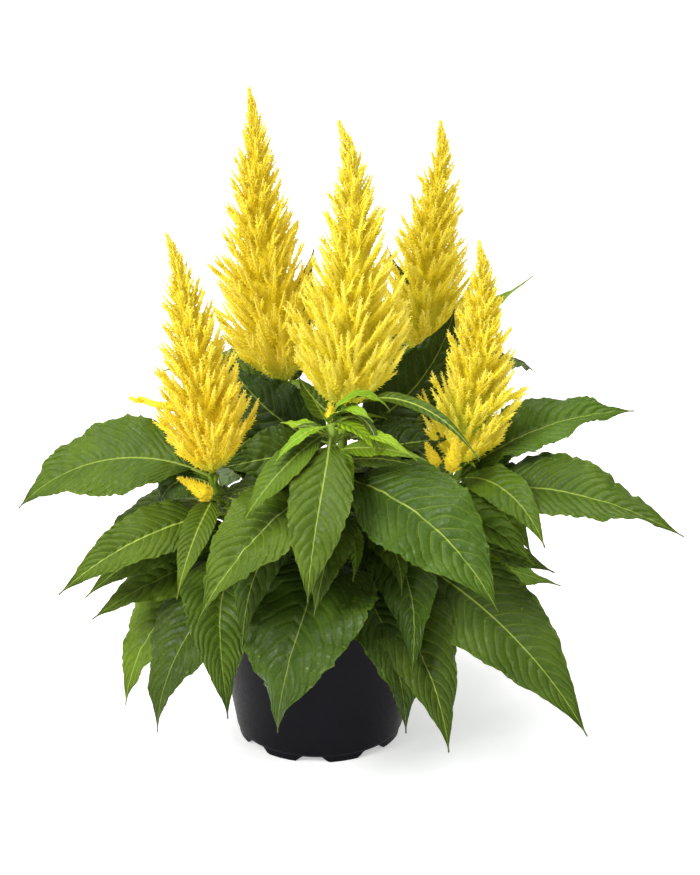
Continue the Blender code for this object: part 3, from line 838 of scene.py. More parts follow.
def leafBlade(stem, leaf, seed, crinkled=False):
    # half width = two powers of the place along, times the place across; height = fold + waves + quilting
    look = leafLook
    draw = random.Random(seed)
    length, width, freshAndLit = leaf[3], leaf[6], leaf[8]
    small = width < look["smallWidth"]
    kind = "small" if small else "big"
    rows, columns = look[kind + "Rows"], look[kind + "Columns"]
    even = np.linspace(0, 1, rows + 1)
    u = 0.7 * even + 0.3 * (1 - np.cos(math.pi * even)) / 2
    v = np.linspace(-1, 1, 2 * columns + 1)
    away = np.abs(v)[None]
    petiole = look["petioleShare"]
    path, direction, side, normal = leafPath(stem, leaf, petiole + (1 - petiole) * u)
    after = look["base"] * (1 - look["widest"]) / look["widest"]
    share = (u / look["widest"]) ** look["base"] * ((1 - u) / (1 - look["widest"])) ** after

    def uneven(pitch, left, right, waves=4):
        # a ripple along the left half, and another along the right one
        halves = [ripple(u * pitch, seed + number, waves)[:, None] for number in (left, right)]
        return np.where(v[None] < 0, *halves)

    # the blade turns round its midrib towards the tip
    twist = math.radians(draw.uniform(-look["twist"], look["twist"])) * u[:, None] ** 2
    cosine, sine = np.cos(twist), np.sin(twist)
    side, normal = side * cosine + normal * sine, normal * cosine - side * sine
    edge = 1 + look["notch"] * uneven(draw.uniform(*look["notchPitch"]), 0, 500)
    half = np.maximum(width / 2 * share, 0.5)[:, None] * np.where(share[:, None] > 0.08, edge, 1)
    # each half folds and waves by itself
    folds = np.where(v < 0, draw.uniform(*look["foldRange"]), draw.uniform(*look["foldRange"]))
    fold = look["fold"] * folds * half * (2.5 * away - 1.5 * away ** 2)
    swell, curl = uneven(look["wavePitch"], 5, 6, 2), uneven(look["crimpPitch"], 9, 77)
    wave = look["wave"] * width * swell * away ** 1.5 * smooth(share * 2.5)[:, None]
    crimp = look["crimp"] * width * curl * away ** 3 * smooth(share * 2)[:, None]
    # side veins: they leave the midrib at an even spacing and bend towards the tip as they near the margin
    gap = look["veinSpacing"] * draw.uniform(*look["veinRange"])
    gap = gap * (look["smallVeins"] if small else 1) * (look["wideVeins"] if width > look["wideWidth"] else 1)
    count = max(5.0, length * 0.9 / gap)
    bend = min(0.4, 0.7 * width / length) * (0.45 * away + 0.6 * away ** 2)
    shift = np.where(v[None] > 0, draw.uniform(*look["veinStagger"]), 0)
    phase = count * (u[:, None] ** 0.92 - bend * (1.1 - 0.5 * u[:, None])) + shift
    outer, inner = look["veinWander"]
    wander = ripple(u * look["wanderPitch"] + draw.uniform(0, 9), seed + 3)[:, None]
    phase = phase + outer * wander * away + 20
    wander = ripple(u * look["wanderPitch"], seed + 13)[:, None]
    phase = phase + inner * wander * np.where(v[None] > 0, 1, -1)
    near = np.abs(phase - np.round(phase))
    dome = 1 - np.exp(-(near / look["groove"]) ** 2)
    depth = look["relief"] * (look["smallRelief"] if small else 1) * math.sqrt(width / 44)
    depth = depth * draw.uniform(*look["reliefRange"])
    if crinkled:
        # blisters: the deepened quilting, broken up by a slow ripple along each half
        slow = ripple(u * 11, seed + 22)[:, None] * 2
        broken = ripple(u * 30, seed + 21)[:, None] * np.cos(away * 5 + slow)
        dome = dome + 0.8 * broken
        depth *= look["blister"]
    quilt = depth * (dome - 0.6) * np.minimum(1, away / 0.12) * (1 - away ** 3) * smooth(share * 2.5)[:, None]
    # slow buckles over the blade: product of a ripple along it and one across it
    buckle = ripple(u * 13, seed + 31)[:, None] * ripple(v * 3.2 + draw.uniform(0, 6), seed + 32)[None]
    height = fold + wave + crimp + quilt + look["buckle"] * width * buckle * smooth(share * 2)[:, None]
    middle = path[:, None] + (v[None] * half)[..., None] * side[:, None] + height[..., None] * normal[:, None]
    lift = look["thickness"] / 2 * (1 - 0.5 * away)[..., None] * normal[:, None]
    rings = np.concatenate((middle + lift, (middle - lift)[:, -2:0:-1]), 1)

    def laid(upper, ends, lower=None):
        # values over the blade's upper face, its lower face and its two end points
        upper = np.broadcast_to(upper, middle.shape[:2])
        lower = upper[:, -2:0:-1] if lower is None else np.full((len(u), 2 * columns - 1), lower)
        return np.concatenate((np.concatenate((upper, lower), 1).ravel(), ends))

    under = laid(0.0, (0, 0), 1.0)
    chance = draw.random()
    contrast = draw.uniform(*look["contrastRange"]) * (0.7 + 0.6 * min(freshAndLit, 0.5))
    place = np.stack((laid(u[:, None], (0, 1)), laid(v[None], (0, 0)), laid(half * away, (0, 0))), -1)
    tone = np.stack((np.full_like(under, chance), np.full_like(under, freshAndLit), under), -1)
    spacing = np.full_like(under, length * 0.9 / count)
    vein = np.stack((laid(phase, (farPhase, farPhase)), spacing, np.full_like(under, contrast)), -1)
    tip = path[-1] + look["tipLength"] * direction[-1]
    return tubePart(rings, path[0], tip, 0, place=place, tone=tone, vein=vein), chance


def leafRib(stem, leaf, chance):
    # petiole and midrib: a tube that thins towards the tip by a power, most of it under the blade
    look = leafLook
    steps = 16 if leaf[6] < look["smallWidth"] else 30
    share = np.linspace(0, 0.975, steps + 1)
    path, direction, side, normal = leafPath(stem, leaf, share)
    blade = np.clip((share - look["petioleShare"]) / (1 - look["petioleShare"]), 0, 1)
    thick = 0.55 + 0.5 * min(1, leaf[6] / 40)
    radius = thick * (0.18 + 0.8 * (1 - blade) ** 1.5)
    middle = path - (radius * 0.8 * smooth(blade * 6))[:, None] * normal
    rings = ringsRound(middle, side, np.cross(direction, side), radius, 8)
    count = rings.shape[0] * rings.shape[1] + 2
    along = np.concatenate((np.repeat(blade, 8), (0, 1)))
    place = np.stack((along, np.zeros(count), np.zeros(count)), -1)
    tone = np.tile((chance, leaf[8], 0.0), (count, 1))
    vein = np.tile((farPhase, 20.0, 0.0), (count, 1))
    return tubePart(rings, middle[0], middle[-1] + direction[-1], 0, place=place, tone=tone, vein=vein)


def stemTube(stem):
    # ridged tube up the stem, thinning by the smooth step, with a swelling at the root of each leaf
    look = stemLook
    radius, height = stems[stem][2], np.linspace(look["bottom"], stems[stem][1][2], look["rings"])
    path = stemPoint(stem, height)
    ahead = unit(stemPoint(stem, height + 1) - stemPoint(stem, height - 1))
    ahead[-1] = upward
    across, along = square(ahead, np.tile((1.0, 0, 0), (len(height), 1)))
    girth = radius * (1 - (1 - look["taper"]) * leaning(stem, height))
    for leaf in leaves[stem]:
        girth = girth + look["node"] * np.exp(-((height - leaf[0]) / look["nodeHeight"]) ** 2)
    girth = np.minimum(girth, radius * 1.25)
    girth[-1] = radius * look["taper"]

    def ridged(turn):
        # one plus a cosine of a few waves round the stem
        return 1 + look["ridge"] * np.cos(look["ridges"] * turn)

    return tubePart(ringsRound(path, across, along, girth, look["sides"], ridged), path[0], path[-1], 1)


def twigTube(name):
    # short bent tube from the stem to the seat of a side plume
    look = stemLook
    stem, height, end, tip = twigs[name]
    root = stemPoint(stem, np.array([height], float))[0]
    seat = np.array(end, float)
    axis = unit(np.array(tip, float) - seat)
    bend = root + 0.6 * (seat - root) - 1.5 * axis
    path = bezier(root, 2 * bend - (root + seat) / 2, seat, np.linspace(0, 1, look["twigRings"]))[0]
    ahead = unit(np.gradient(path, axis=0))
    ahead[-1] = axis
    across, along = square(ahead, np.tile((1.0, 0, 0), (len(path), 1)))
    girth = np.full(len(path), look["twigRadius"])
    return tubePart(ringsRound(path, across, along, girth, look["twigSides"]), path[0], path[-1], 1)


def youngLeaves(stem, seed):
    # small fresh leaves round the upper stem, one after another at the golden angle, shorter towards the top
    look = youngLook
    draw = random.Random(seed)
    low, high = (stems[stem][1][2] - below for below in look["below"])
    made = []
    for number in range(look["count"]):
        share = number / (look["count"] - 1)
        height = low + share * (high - low)
        length = draw.uniform(*look["length"]) * (1 - look["shorter"] * share)
        heading = math.degrees(golden * number) + draw.uniform(-look["scatter"], look["scatter"])
        width = length * draw.uniform(*look["slimness"])
        turn, rootRise = draw.uniform(*look["turn"]), draw.uniform(*look["rootRise"])
        tipRise, roll, freshAndLit = (draw.uniform(*look[key]) for key in ("tipRise", "roll", "freshAndLit"))
        made.append((height, heading, turn, length, rootRise, tipRise, width, roll, freshAndLit))
    return tuple(made)


leafyMaterials = [leafMaterial(), plainMaterial("stemSkin", stemLook)]
for stemNumber, stem in enumerate(stems):
    parts = [stemTube(stem)] + [twigTube(name) for name in twigs if twigs[name][0] == stem]
    for leafNumber, leaf in enumerate(leaves[stem] + innerLeaves[stem] + youngLeaves(stem, stemNumber + 40)):
        crinkled = leafNumber in leafLook["crinkled"].get(stem, ())
        blade, chance = leafBlade(stem, leaf, 1000 * stemNumber + 10 * leafNumber + 7, crinkled)
        parts += [blade, leafRib(stem, leaf, chance)]
    addPiece("foliage_" + stem, parts, leafyMaterials, 75, ("leafy_stem_" + stem,))

# the plumes

# each plume: tip (x, y, z), reach of its feathers, share of it at the foot, sway of its middle (x, y),
# step aside below its bent tip, number of feathers, and warmth of its colour at the foot and at the tip,
# from -1, greenish, to 1, mustard
plumes = {
    "left": ((-84, -45, 333), 31, 0.02, (0, 0), 3, 68, (0.8, 0.4)),
    "back_left": ((-40, 45, 393), 35, 0.2, (-7, 2), 3, 72, (0.35, 0.45)),
    "centre": ((12, -15, 390), 38, 0.38, (2, 0), 6, 74, (-0.4, 0.2)),
    "back_right": ((72, 60, 369), 31, 0.2, (-5, 0), 4, 62, (-0.6, 0.3)),
    "right": ((92, -15, 319), 30, 0.02, (3, 0), 3, 62, (-1, 0.3)),
    "front_bud": ((7, -62, 237), 4, 0.45, (0, 0), 0.5, 7, (0.7, 0.5)),
    "left_side": (twigs["left_side"][3], 6, 0.5, (0, 1), 0, 13, (0.9, 0.6)),
    "right_side": (twigs["right_side"][3], 5.5, 0.5, (0, 0), 0, 13, (0.9, 0.6)),
    "right_side_small": (twigs["right_side_small"][3], 4.5, 0.5, (0, 0), 0, 9, (0.9, 0.6)),
}

seatGap = 0.3  # between the end of a stem and its plume
longRank, fingerRank, shortRank = 1.0, 0.8, 0.6  # numbers that tell the three kinds of feathers apart

plumeLook = {
    "fullLength": 130,  # shorter plumes have finer feathers and fewer florets
    "fullFeathers": 560,  # that carry all the florets, side fingers with them
    "belly": 0.28,
    "coreShare": (0.3, 0.42),  # of the reach, above and at the foot
    "coreRings": 41,
    "coreSides": 16,
    "smallLength": 60,
    "smallCore": 0.75,
    "lowestTip": 0.13,
    "lowestRoot": 0.015,
    "rise": 0.17,
    "climb": (0.38, 0.95),  # of that rise, and of the reach, that a feather climbs
    "longReach": (0.84, 1.08),
    "extraFeathers": 4.0,  # short feathers between the long ones, as a share of them
    "extraReach": (0.5, 1.0),
    "featherRadius": (0.75, 3.0),  # of its body, at the top and at the foot of the plume
    "featherSides": 5,
    "featherRings": (0.0, 0.3, 0.6, 0.86),
    "fingers": 3,  # side fingers on each long feather
    "fingerTop": 0.8,  # no fingers above this height
    "fingerShare": 0.36,  # of the feather's length
    "florets": 14500,
    "coreFlorets": 1500,
    "floretLean": (62, 36),  # from the feather's line, at its foot and at its tip
    "coreLean": (46, 32),
    "floretLength": 2.2,
    "floretWidth": 0.56,
    "coreLength": (4.4, 2.4),  # at the foot, and how much shorter at the tip
    # the deep colour is painted shade: the colour inside the plume, where its feathers shade it
    "deep": (0.53, 0.43, 0.012, 1),
    "middle": (0.69, 0.57, 0.02, 1),
    "lemon": (0.75, 0.64, 0.05, 1),
    "pale": (0.84, 0.77, 0.22, 1),
    "golden": (0.72, 0.49, 0.012, 1),
    "green": (0.40, 0.48, 0.045, 1),
    "glow": 0.18,  # stands in for the light that passes through the thin florets
    "mottle": (45, 700, 0.2),
    "roughness": 0.6,
    "shine": 0.2,
    "grain": (1600, 1900, 0.4, 0.06),
}

# single feathers that stand out: height of the tip, heading, reach and height of the root
longFeathers = {
    "left": ((0.36, 178, 41, 0.27), (0.33, -20, 27, 0.05), (0.43, -8, 24, 0.16), (0.26, -68, 24, 0.02)),
    "back_left": ((0.42, 180, 33, 0.28), (0.54, 0, 24, 0.42), (0.3, -60, 26, 0.05)),
    "centre": ((0.3, -82, 31, 0.02), (0.29, 180, 37, 0.16), (0.36, 2, 34, 0.22), (0.2, -50, 30, 0.02)),
    "back_right": ((0.54, 178, 20, 0.42),),
    "right": ((0.36, 0, 32, 0.25), (0.25, -60, 24, 0.03)),
}


def plumeMaterial():
    # painted shade: from a dark mustard deep in the plume to lemon at its outside, by the depth and the place
    # along each floret; pale at the tips, then golden or green by the warmth
    look = plumeLook
    material, tree, shader, place = startMaterial("plumeFloret", look)
    floret, depth, height = attributeParts(tree, "place")
    chance, feather, warm = attributeParts(tree, "tone")
    # painted shade: less lit towards the plume's axis and the foot of each floret, and where the warmth is
    # strong
    lit = calc(tree, "MULTIPLY", ramp(tree, depth, 0.2, 0.9), ramp(tree, floret, 0.0, 1.0, 0.6, 1.0))
    lit = calc(tree, "SUBTRACT", lit, calc(tree, "MULTIPLY", calc(tree, "ABSOLUTE", warm), 0.25), True)
    body = mixColour(tree, ramp(tree, lit, 0.0, 0.4), look["deep"], look["middle"])
    body = mixColour(tree, ramp(tree, lit, 0.35, 0.9), body, look["lemon"])
    bright = calc(tree, "MULTIPLY", ramp(tree, feather, 0.4, 1.0), ramp(tree, floret, 0.0, 1.0, 0.3, 0.85))
    tipped = mixColour(tree, bright, body, look["pale"])
    varied = mixColour(tree, calc(tree, "MULTIPLY", chance, 0.35), tipped, look["middle"])
    varied = mixColour(tree, ramp(tree, warm, 0.0, 1.0, 0.0, 0.5), varied, look["golden"])
    # greenish at the foot, and along the column of a young plume: partly its own green, partly painted shade
    # that makes a shaded foot darker and greener
    young, inner = ramp(tree, warm, -1.0, 0.0, 0.9, 0.0), ramp(tree, depth, 0.25, 0.92, 1.0, 0.0)
    inside = calc(tree, "MULTIPLY", young, inner)
    greenShare = calc(tree, "MAXIMUM", ramp(tree, height, 0.0, 0.12, 0.6, 0.0), inside)
    greened = mixColour(tree, greenShare, varied, look["green"])
    mottle = mottled(tree, place, look, greened, look["lemon"])
    tree.links.new(mottle["Colour"], shader.inputs["Base Color"])
    tree.links.new(mottle["Colour"], shader.inputs["Emission Color"])
    shader.inputs["Emission Strength"].default_value = look["glow"]
    grained(tree, shader, place, look)
    return material


class Plume:
    # the line, reach and frame of one plume, from its row in the table
    def __init__(self, name):
        tip, self.size, self.foot, self.sway, self.hook, self.count, self.warmth = plumes[name]
        self.name = name
        if name in twigs:
            end = np.array(twigs[name][2], float)
            self.facing = unit(np.array(tip, float) - end)
            self.seat = end + seatGap * self.facing
            self.seatRadius = stemLook["twigRadius"]
        else:
            top, radius = stems["front" if name == "front_bud" else name][1:]
            self.facing = upward
            self.seat = np.array(top, float) + seatGap * upward
            self.seatRadius = radius * stemLook["taper"]
        self.tip = np.array(tip, float)
        self.axis = unit(self.tip - self.seat)
        self.length = np.linalg.norm(self.tip - self.seat)
        self.across, self.along = square(self.axis, np.array((1.0, 0, 0)))
        full = min(1, self.length / plumeLook["fullLength"])
        self.scale, self.fullness = full ** 0.7, full ** 1.6

    def point(self, share):
        # straight from seat to tip, plus a bow of one half sine, and a step aside that ends at the bent tip
        share = np.asarray(share, float)[..., None]
        bow = np.array((self.sway[0], self.sway[1], 0.0)) * np.sin(math.pi * share)
        hook = self.hook * smooth(share / 0.7) * (1 - smooth((share - 0.88) / 0.12))
        return self.seat + share * (self.tip - self.seat) + bow + hook * np.array((1.0, 0.0, 0.0))

    def reach(self, share):
        # a power of a sine swelling below the belly, and a power that runs to nothing at the tip
        share, belly = np.asarray(share, float), plumeLook["belly"]
        low = self.foot + (1 - self.foot) * np.sin(np.clip(share / belly, 0, 1) * math.pi / 2) ** 1.8
        high = (np.clip(1 - share, 0, 1) / (1 - belly)) ** 0.9 * (1 - 0.25 * smooth((share - 0.84) / 0.12))
        return self.size * np.where(share < belly, low, high)

    def core(self, share):
        # radius of the core: a share of the reach, larger at the foot, running in to nothing at the seat
        share = np.asarray(share, float)
        above, foot = plumeLook["coreShare"]
        part = above + (foot - above) * (1 - smooth(share / 0.4))
        part = part if self.length > plumeLook["smallLength"] else plumeLook["smallCore"]
        return self.reach(share) * part * smooth(share / 0.05 + 0.35)

    def tinted(self, points, floret, chance, feather):
        # what the material reads: place in the floret, distance from the axis as a share of the reach and
        # height, then chance, place in the feather and warmth
        points = points.reshape(-1, 3)
        heights = np.clip((points - self.seat) @ self.axis / self.length, 0, 1)
        gap = np.linalg.norm(points - self.point(heights), axis=-1)
        depths = np.clip(gap / (self.reach(heights) + 1.5), 0, 1.2)
        warm = self.warmth[0] + (self.warmth[1] - self.warmth[0]) * smooth(heights * 1.6)
        none = np.zeros_like(heights)
        place = np.stack((none + floret, depths, heights), -1)
        return {"place": place, "tone": np.stack((none + chance, none + feather, warm), -1)}


def featherRows(plume, draw):
    # height of the root and of the tip, heading, reach, radius and rank: long ones as the solid's, a few that
    # stand out, and short ones between them
    look = plumeLook
    rows = []
    thin, thick = look["featherRadius"]
    byRise, byReach = look["climb"]
    for number in range(plume.count):
        order = number / (plume.count - 1)
        tipShare = look["lowestTip"] + (1 - look["lowestTip"]) * order ** 0.9
        turn = golden * number + draw.uniform(-0.2, 0.2)
        reach = float(plume.reach(tipShare)) * draw.uniform(*look["longReach"]) + 0.8
        rise = look["rise"] * (1 - order / 3) * byRise + byReach * reach / plume.length
        radius = (thin + (thick - thin) * (1 - order)) * plume.scale
        rows.append((max(look["lowestRoot"], tipShare - rise), tipShare, turn, reach, radius, longRank))
    for tipShare, heading, reach, rootShare in longFeathers.get(plume.name, ()):
        rows.append((rootShare, tipShare, math.radians(heading), reach, thick, longRank))
    extras = int(plume.count * look["extraFeathers"])
    for number in range(extras):
        order = (number + 0.5) / extras
        tipShare = 0.05 + 0.92 * order ** 1.15
        turn = golden * number + 2.0 + draw.uniform(-0.4, 0.4)
        reach = float(plume.reach(tipShare)) * draw.uniform(*look["extraReach"]) + 0.8
        rise = look["rise"] * 0.6 * (1 - order / 3) * byRise + 0.72 * byReach * reach / plume.length
        radius = (thin + (thick - thin) * (1 - order)) * plume.scale * draw.uniform(0.8, 1.1)
        rows.append((max(0.012, tipShare - rise), tipShare, turn, reach, radius, shortRank))
    return np.array(rows).T


def plumeFeathers(plume, seed):
    # root, bend, tip, outward direction, radius and rank of each feather, then of the long ones' side fingers
    look = plumeLook
    rootShare, tipShare, turn, reach, radius, rank = featherRows(plume, random.Random(seed))
    out = spokesAt(turn, plume.across, plume.along)
    # the lowest ones are short and start further out
    inner = np.where(rank == shortRank, 0.32, 0.14 + 0.2 * (1 - smooth((tipShare - 0.08) / 0.2)))
    root = plume.point(rootShare) + (inner * np.minimum(plume.reach(rootShare), reach))[:, None] * out
    tip = plume.point(tipShare) + reach[:, None] * out
    rise = np.sum((tip - root) * plume.axis, -1, keepdims=True)
    # the lowest feathers start outward and curve up, the upper ones leave the column at a slant
    low = 1 - smooth((tipShare - 0.1) / 0.3)[:, None]
    level = tip - root - rise * plume.axis
    bend = root + (0.56 + 0.14 * low) * level + (0.36 - 0.12 * low) * rise * plume.axis
    if plume.length < look["smallLength"]:
        return root, bend, tip, out, radius, rank
    # side fingers: they leave the feather at both sides, turn back along it and end beside it
    parent = np.nonzero((rank == longRank) & (tipShare < look["fingerTop"]))[0]
    number = np.tile(np.arange(look["fingers"]), len(parent))
    parent = np.repeat(parent, look["fingers"])
    count = len(parent)
    chance = np.random.default_rng(seed + 90)
    t = 0.3 + 0.55 * (number + 0.5) / look["fingers"]
    start, ahead = bezier(root[parent], bend[parent], tip[parent], t)
    side = unit(np.cross(plume.axis, out[parent])) * np.where(number % 2, -1, 1)[:, None]
    lift = chance.uniform(-0.5, 1.0, count)[:, None]
    away = unit(side + lift * out[parent])
    length = np.linalg.norm(tip - root, axis=-1)[parent] * look["fingerShare"] * (1.2 - 0.6 * t)
    length = length * chance.uniform(0.75, 1.2, count)
    end = start + length[:, None] * unit(ahead + 0.48 * away + 0.1 * plume.axis)
    elbow = start + 0.5 * length[:, None] * unit(ahead + 0.85 * away)
    thinner = radius[parent] * chance.uniform(0.4, 0.55, count)
    feathers = (root, bend, tip, out, radius, rank)
    added = (start, elbow, end, away, thinner, np.full(count, fingerRank))
    return tuple(np.concatenate(pair) for pair in zip(feathers, added))


def floretsAt(plume, draw, base, ahead, spoke, lean, length, width, most, place, own=None):
    # pointed grains that lean from the line towards their spoke, each varied by chance: a triangle square to
    # the grain, and a tip one length along it
    count = len(base)
    lean = np.radians(lean + draw.uniform(-10, 10, count))
    direction = unit(np.cos(lean)[:, None] * ahead + np.sin(lean)[:, None] * spoke)
    length = length * draw.uniform(0.7, most, count)
    width = width * draw.uniform(0.8, 1.2, count)
    own = draw.random(count) if own is None else own
    across, along = square(direction, spoke)
    spokes = spokesAt(np.arange(3) * 2 * math.pi / 3, across[:, None], along[:, None])
    ring = base[:, None] + width[:, None, None] * spokes
    tip = base + length[:, None] * direction
    points = np.concatenate((ring, tip[:, None]), 1)
    shape = np.array(((2, 1, 0), (0, 1, 3), (1, 2, 3), (2, 0, 3)))
    faces = (shape[None] + 4 * np.arange(count)[:, None, None]).reshape(-1, 3)
    grain = np.tile((0.1, 0.1, 0.1, 1.0), count)
    return part(points, (faces,), 0, **plume.tinted(points, grain, np.repeat(own, 4), np.repeat(place, 4)))


def girthAlong(t, rank):
    # side fingers: nearly even girth that rounds off, one less a power of the place, to another power
    finger = np.clip(1 - t ** 2.4, 0, 1) ** 0.75 * np.minimum(1, 0.55 + 1.5 * t)
    # feathers: a cone, a power of what is left to the tip
    cone = np.clip(1 - t, 0, 1) ** 0.5 * np.minimum(1, 0.6 + 2 * t)
    return np.where(rank == fingerRank, finger, cone)


def featherBodies(plume, feathers, side, own):
    # closed tubes along the feathers' curves, by their girth
    root, middle, tip, out, radius, rank = feathers
    t = np.array(plumeLook["featherRings"])
    places = np.broadcast_to(t, (len(root), len(t)))
    path, ahead = bezier(root[:, None], middle[:, None], tip[:, None], places)
    across, along = square(ahead, np.broadcast_to(side[:, None], ahead.shape))
    girth = radius[:, None] * girthAlong(t[None], rank[:, None])
    sides = plumeLook["featherSides"]
    points, faces = closedTubes(ringsRound(path, across, along, girth, sides), root, tip)
    place = np.broadcast_to(np.concatenate((np.repeat(t, sides), (0, 1))), points.shape[:2]).ravel()
    return part(points, faces, 0, **plume.tinted(points, 0.1, np.repeat(own, points.shape[1]), place))


def plumeCore(plume):
    # tube up the middle, lumpy by a product of sines up and round it
    look = plumeLook
    share = np.concatenate((np.linspace(0, 1, look["coreRings"])[:-1] ** 1.1, (0.985,)))
    line = plume.point(share)
    girth = np.maximum(plume.core(share), 0.45)
    girth[0] = plume.seatRadius
    ahead = unit(np.gradient(line, axis=0))
    ahead[0] = plume.facing
    across, along = square(ahead, np.broadcast_to(plume.across, ahead.shape))

    def lumpy(turn):
        # one plus the product of a sine that winds up one way and one that winds the other way
        up = share[:, None]
        return 1 + 0.09 * np.sin(9 * turn[None] + 70 * up) * np.sin(5 * turn[None] - 95 * up)

    rings = ringsRound(line, across, along, girth, look["coreSides"], lumpy)
    points, faces = closedTubes(rings[None], line[None, 0], plume.point(1.0)[None])
    return part(points, faces, 0, **plume.tinted(points, 0.1, 0.3, 0.0))


def featherFlorets(plume, feathers, side, own, draw):
    # florets wound round each feather at the golden angle, as many as its length and girth ask
    look = plumeLook
    root, middle, tip, out, radius, rank = feathers
    weight = np.linalg.norm(tip - root, axis=-1) * (radius + 1)
    total = look["florets"] * plume.fullness * len(root) / look["fullFeathers"]
    counts = np.maximum(8, total * weight / weight.sum()).astype(int)
    owner = np.repeat(np.arange(len(root)), counts)
    number = np.concatenate([np.arange(count) for count in counts])
    first = np.where(rank == fingerRank, 0.05, 0.2)[owner]
    t = first + (0.985 - first) * ((number + 0.5) / counts[owner]) ** 0.9
    point, ahead = bezier(root[owner], middle[owner], tip[owner], t)
    count = len(owner)
    spoke = spokesAt(golden * number + draw.uniform(-0.4, 0.4, count), *square(ahead, side[owner]))
    base = point + spoke * (0.85 * radius[owner] * girthAlong(t, rank[owner]))[:, None]
    atFoot, atTip = look["floretLean"]
    lean = atFoot + (atTip - atFoot) * t
    small = 0.5 + 0.5 * plume.scale
    length = look["floretLength"] * small * (1.1 - 0.45 * t)
    width = look["floretWidth"] * small * (1.1 - 0.5 * t)
    return floretsAt(plume, draw, base, ahead, spoke, lean, length, width, 1.25, t, own[owner])


def coreFlorets(plume, draw):
    # florets wound up the core at the golden angle, shorter and more upright towards the tip
    look = plumeLook
    count = int(look["coreFlorets"] * plume.fullness)
    number = np.arange(count)
    share = 0.02 + 0.97 * ((number + 0.5) / count) ** 1.02
    spoke = spokesAt(golden * number + draw.uniform(-0.3, 0.3, count), plume.across, plume.along)
    base = plume.point(share) + spoke * (np.maximum(plume.core(share), 0.4) * 0.9)[:, None]
    atFoot, atTip = look["coreLean"]
    lean = atFoot - (atFoot - atTip) * share
    small = 0.4 + 0.6 * plume.scale
    atFoot, less = look["coreLength"]
    length = small * (atFoot - less * share)
    width = look["floretWidth"] * small * (1.7 - 0.8 * share)
    return floretsAt(plume, draw, base, plume.axis, spoke, lean, length, width, 1.2, share)


def makePlume(name, seed, material):
    # the bodies of the feathers, the core, and the florets on both
    plume = Plume(name)
    draw = np.random.default_rng(seed)
    feathers = plumeFeathers(plume, seed)
    side = unit(np.cross(plume.axis, feathers[3]) + 0.01)
    own = draw.random(len(side))
    parts = [
        featherBodies(plume, feathers, side, own),
        plumeCore(plume),
        featherFlorets(plume, feathers, side, own, draw),
        coreFlorets(plume, draw),
    ]
    addPiece("feathers_" + name, parts, [material], 60, ("plume_" + name,))


floretMaterial = plumeMaterial()
for plumeNumber, plumeName in enumerate(plumes):
    makePlume(plumeName, plumeNumber + 1, floretMaterial)

# floor, light and camera

floorLook = {
    "reach": 9,  # in metres, to each side
    "colour": (0.88, 0.88, 0.88, 1),
    "otherColour": (0.85, 0.85, 0.86, 1),
    "mottle": (3, 60, 0.2),
    "roughness": 0.7,
    "shine": 0.2,
    "glow": 0.45,  # a lit table keeps the shadows on the paper faint
}

studio = {
    "skyFront": 0.42,  # light from behind the camera
    "skyBack": 0.9,  # light from beyond the plant
    "skyEdge": 0.8,
    "lights": (
        # name, place, target, size and power
        ("windowLeft", (-1.5, -1.4, 1.9), (0, 0, 0.18), 1.2, 88),
        ("above", (-0.2, 0.4, 2.6), (0, 0, 0.2), 1.6, 45),
    ),
    "cameraPlace": (0.01856, -1.50101, 0.79810),
    "cameraPitch": 22.0155,
    "lens": 112.44,
    "sensor": 36,
    "clip": (0.05, 60),
}


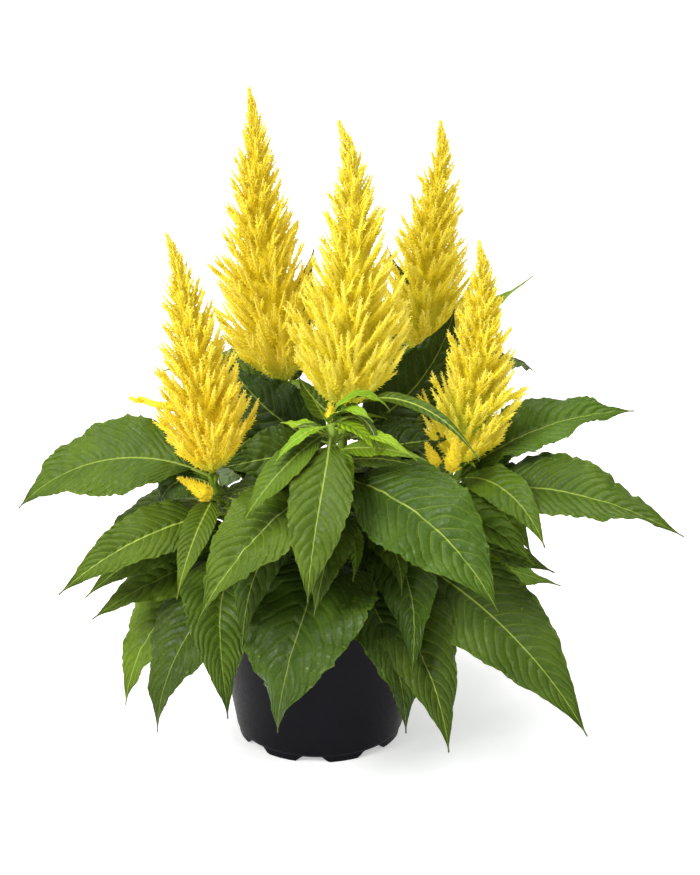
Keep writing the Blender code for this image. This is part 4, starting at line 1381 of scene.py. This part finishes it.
def makeFloor():
    # one wide flat square of softly lit paper
    look = floorLook
    material, tree, shader, place = startMaterial("floorPaper", look)
    mottle = mottled(tree, place, look, look["colour"], look["otherColour"])
    tree.links.new(mottle["Colour"], shader.inputs["Base Color"])
    shader.inputs["Emission Color"].default_value = (1, 1, 1, 1)
    shader.inputs["Emission Strength"].default_value = look["glow"]
    mesh = bpy.data.meshes.new("floor")
    far = look["reach"]
    mesh.from_pydata([(-far, -far, 0), (far, -far, 0), (far, far, 0), (-far, far, 0)], [], [(0, 1, 2, 3)])
    mesh.materials.append(material)
    floor = bpy.data.objects.new("floor", mesh)
    bpy.context.scene.collection.objects.link(floor)


def makeLights():
    # a sky, brighter beyond the plant than behind the camera and plain white to look at, and two soft disks
    world = bpy.data.worlds.new("studio")
    bpy.context.scene.world = world
    world.use_nodes = True
    tree = world.node_tree
    place = put(tree, "ShaderNodeTexCoord").outputs["Generated"]
    direction = put(tree, "ShaderNodeSeparateXYZ", {"Vector": place}).outputs["Y"]
    edge = studio["skyEdge"]
    level = ramp(tree, direction, -edge, edge, studio["skyFront"], studio["skyBack"])
    seen = put(tree, "ShaderNodeLightPath").outputs["Is Camera Ray"]
    strength = put(tree, "ShaderNodeMix", {0: seen, 2: level, 3: 1.0}).outputs[0]
    background = tree.nodes["Background"]
    background.inputs["Color"].default_value = (1, 1, 1, 1)
    tree.links.new(strength, background.inputs["Strength"])
    for name, place, target, size, power in studio["lights"]:
        light = bpy.data.lights.new(name, "AREA")
        light.shape = "DISK"
        light.size = size
        light.energy = power
        lamp = bpy.data.objects.new(name, light)
        bpy.context.scene.collection.objects.link(lamp)
        aim = unit(np.array(target, float) - np.array(place, float))
        across = square(-aim, upward)[0]
        # columns: sideways, upwards, backwards
        turn = np.stack((np.cross(across, -aim), across, -aim), 1)
        lamp.matrix_world = Matrix([[*turn[row], place[row]] for row in range(3)] + [[0, 0, 0, 1]])


def makeCamera():
    # level from side to side, pitched down at the pot from the front
    camera = bpy.data.cameras.new("camera")
    camera.lens = studio["lens"]
    camera.sensor_width = studio["sensor"]
    camera.clip_start, camera.clip_end = studio["clip"]
    shown = bpy.data.objects.new("camera", camera)
    bpy.context.scene.collection.objects.link(shown)
    shown.location = studio["cameraPlace"]
    shown.rotation_euler = (math.radians(90 - studio["cameraPitch"]), 0, 0)
    bpy.context.scene.camera = shown


makeFloor()
makeLights()
makeCamera()
bpy.context.scene.view_settings.view_transform = "Standard"
bpy.context.scene.view_settings.look = "None"
print("floor, light and camera made")
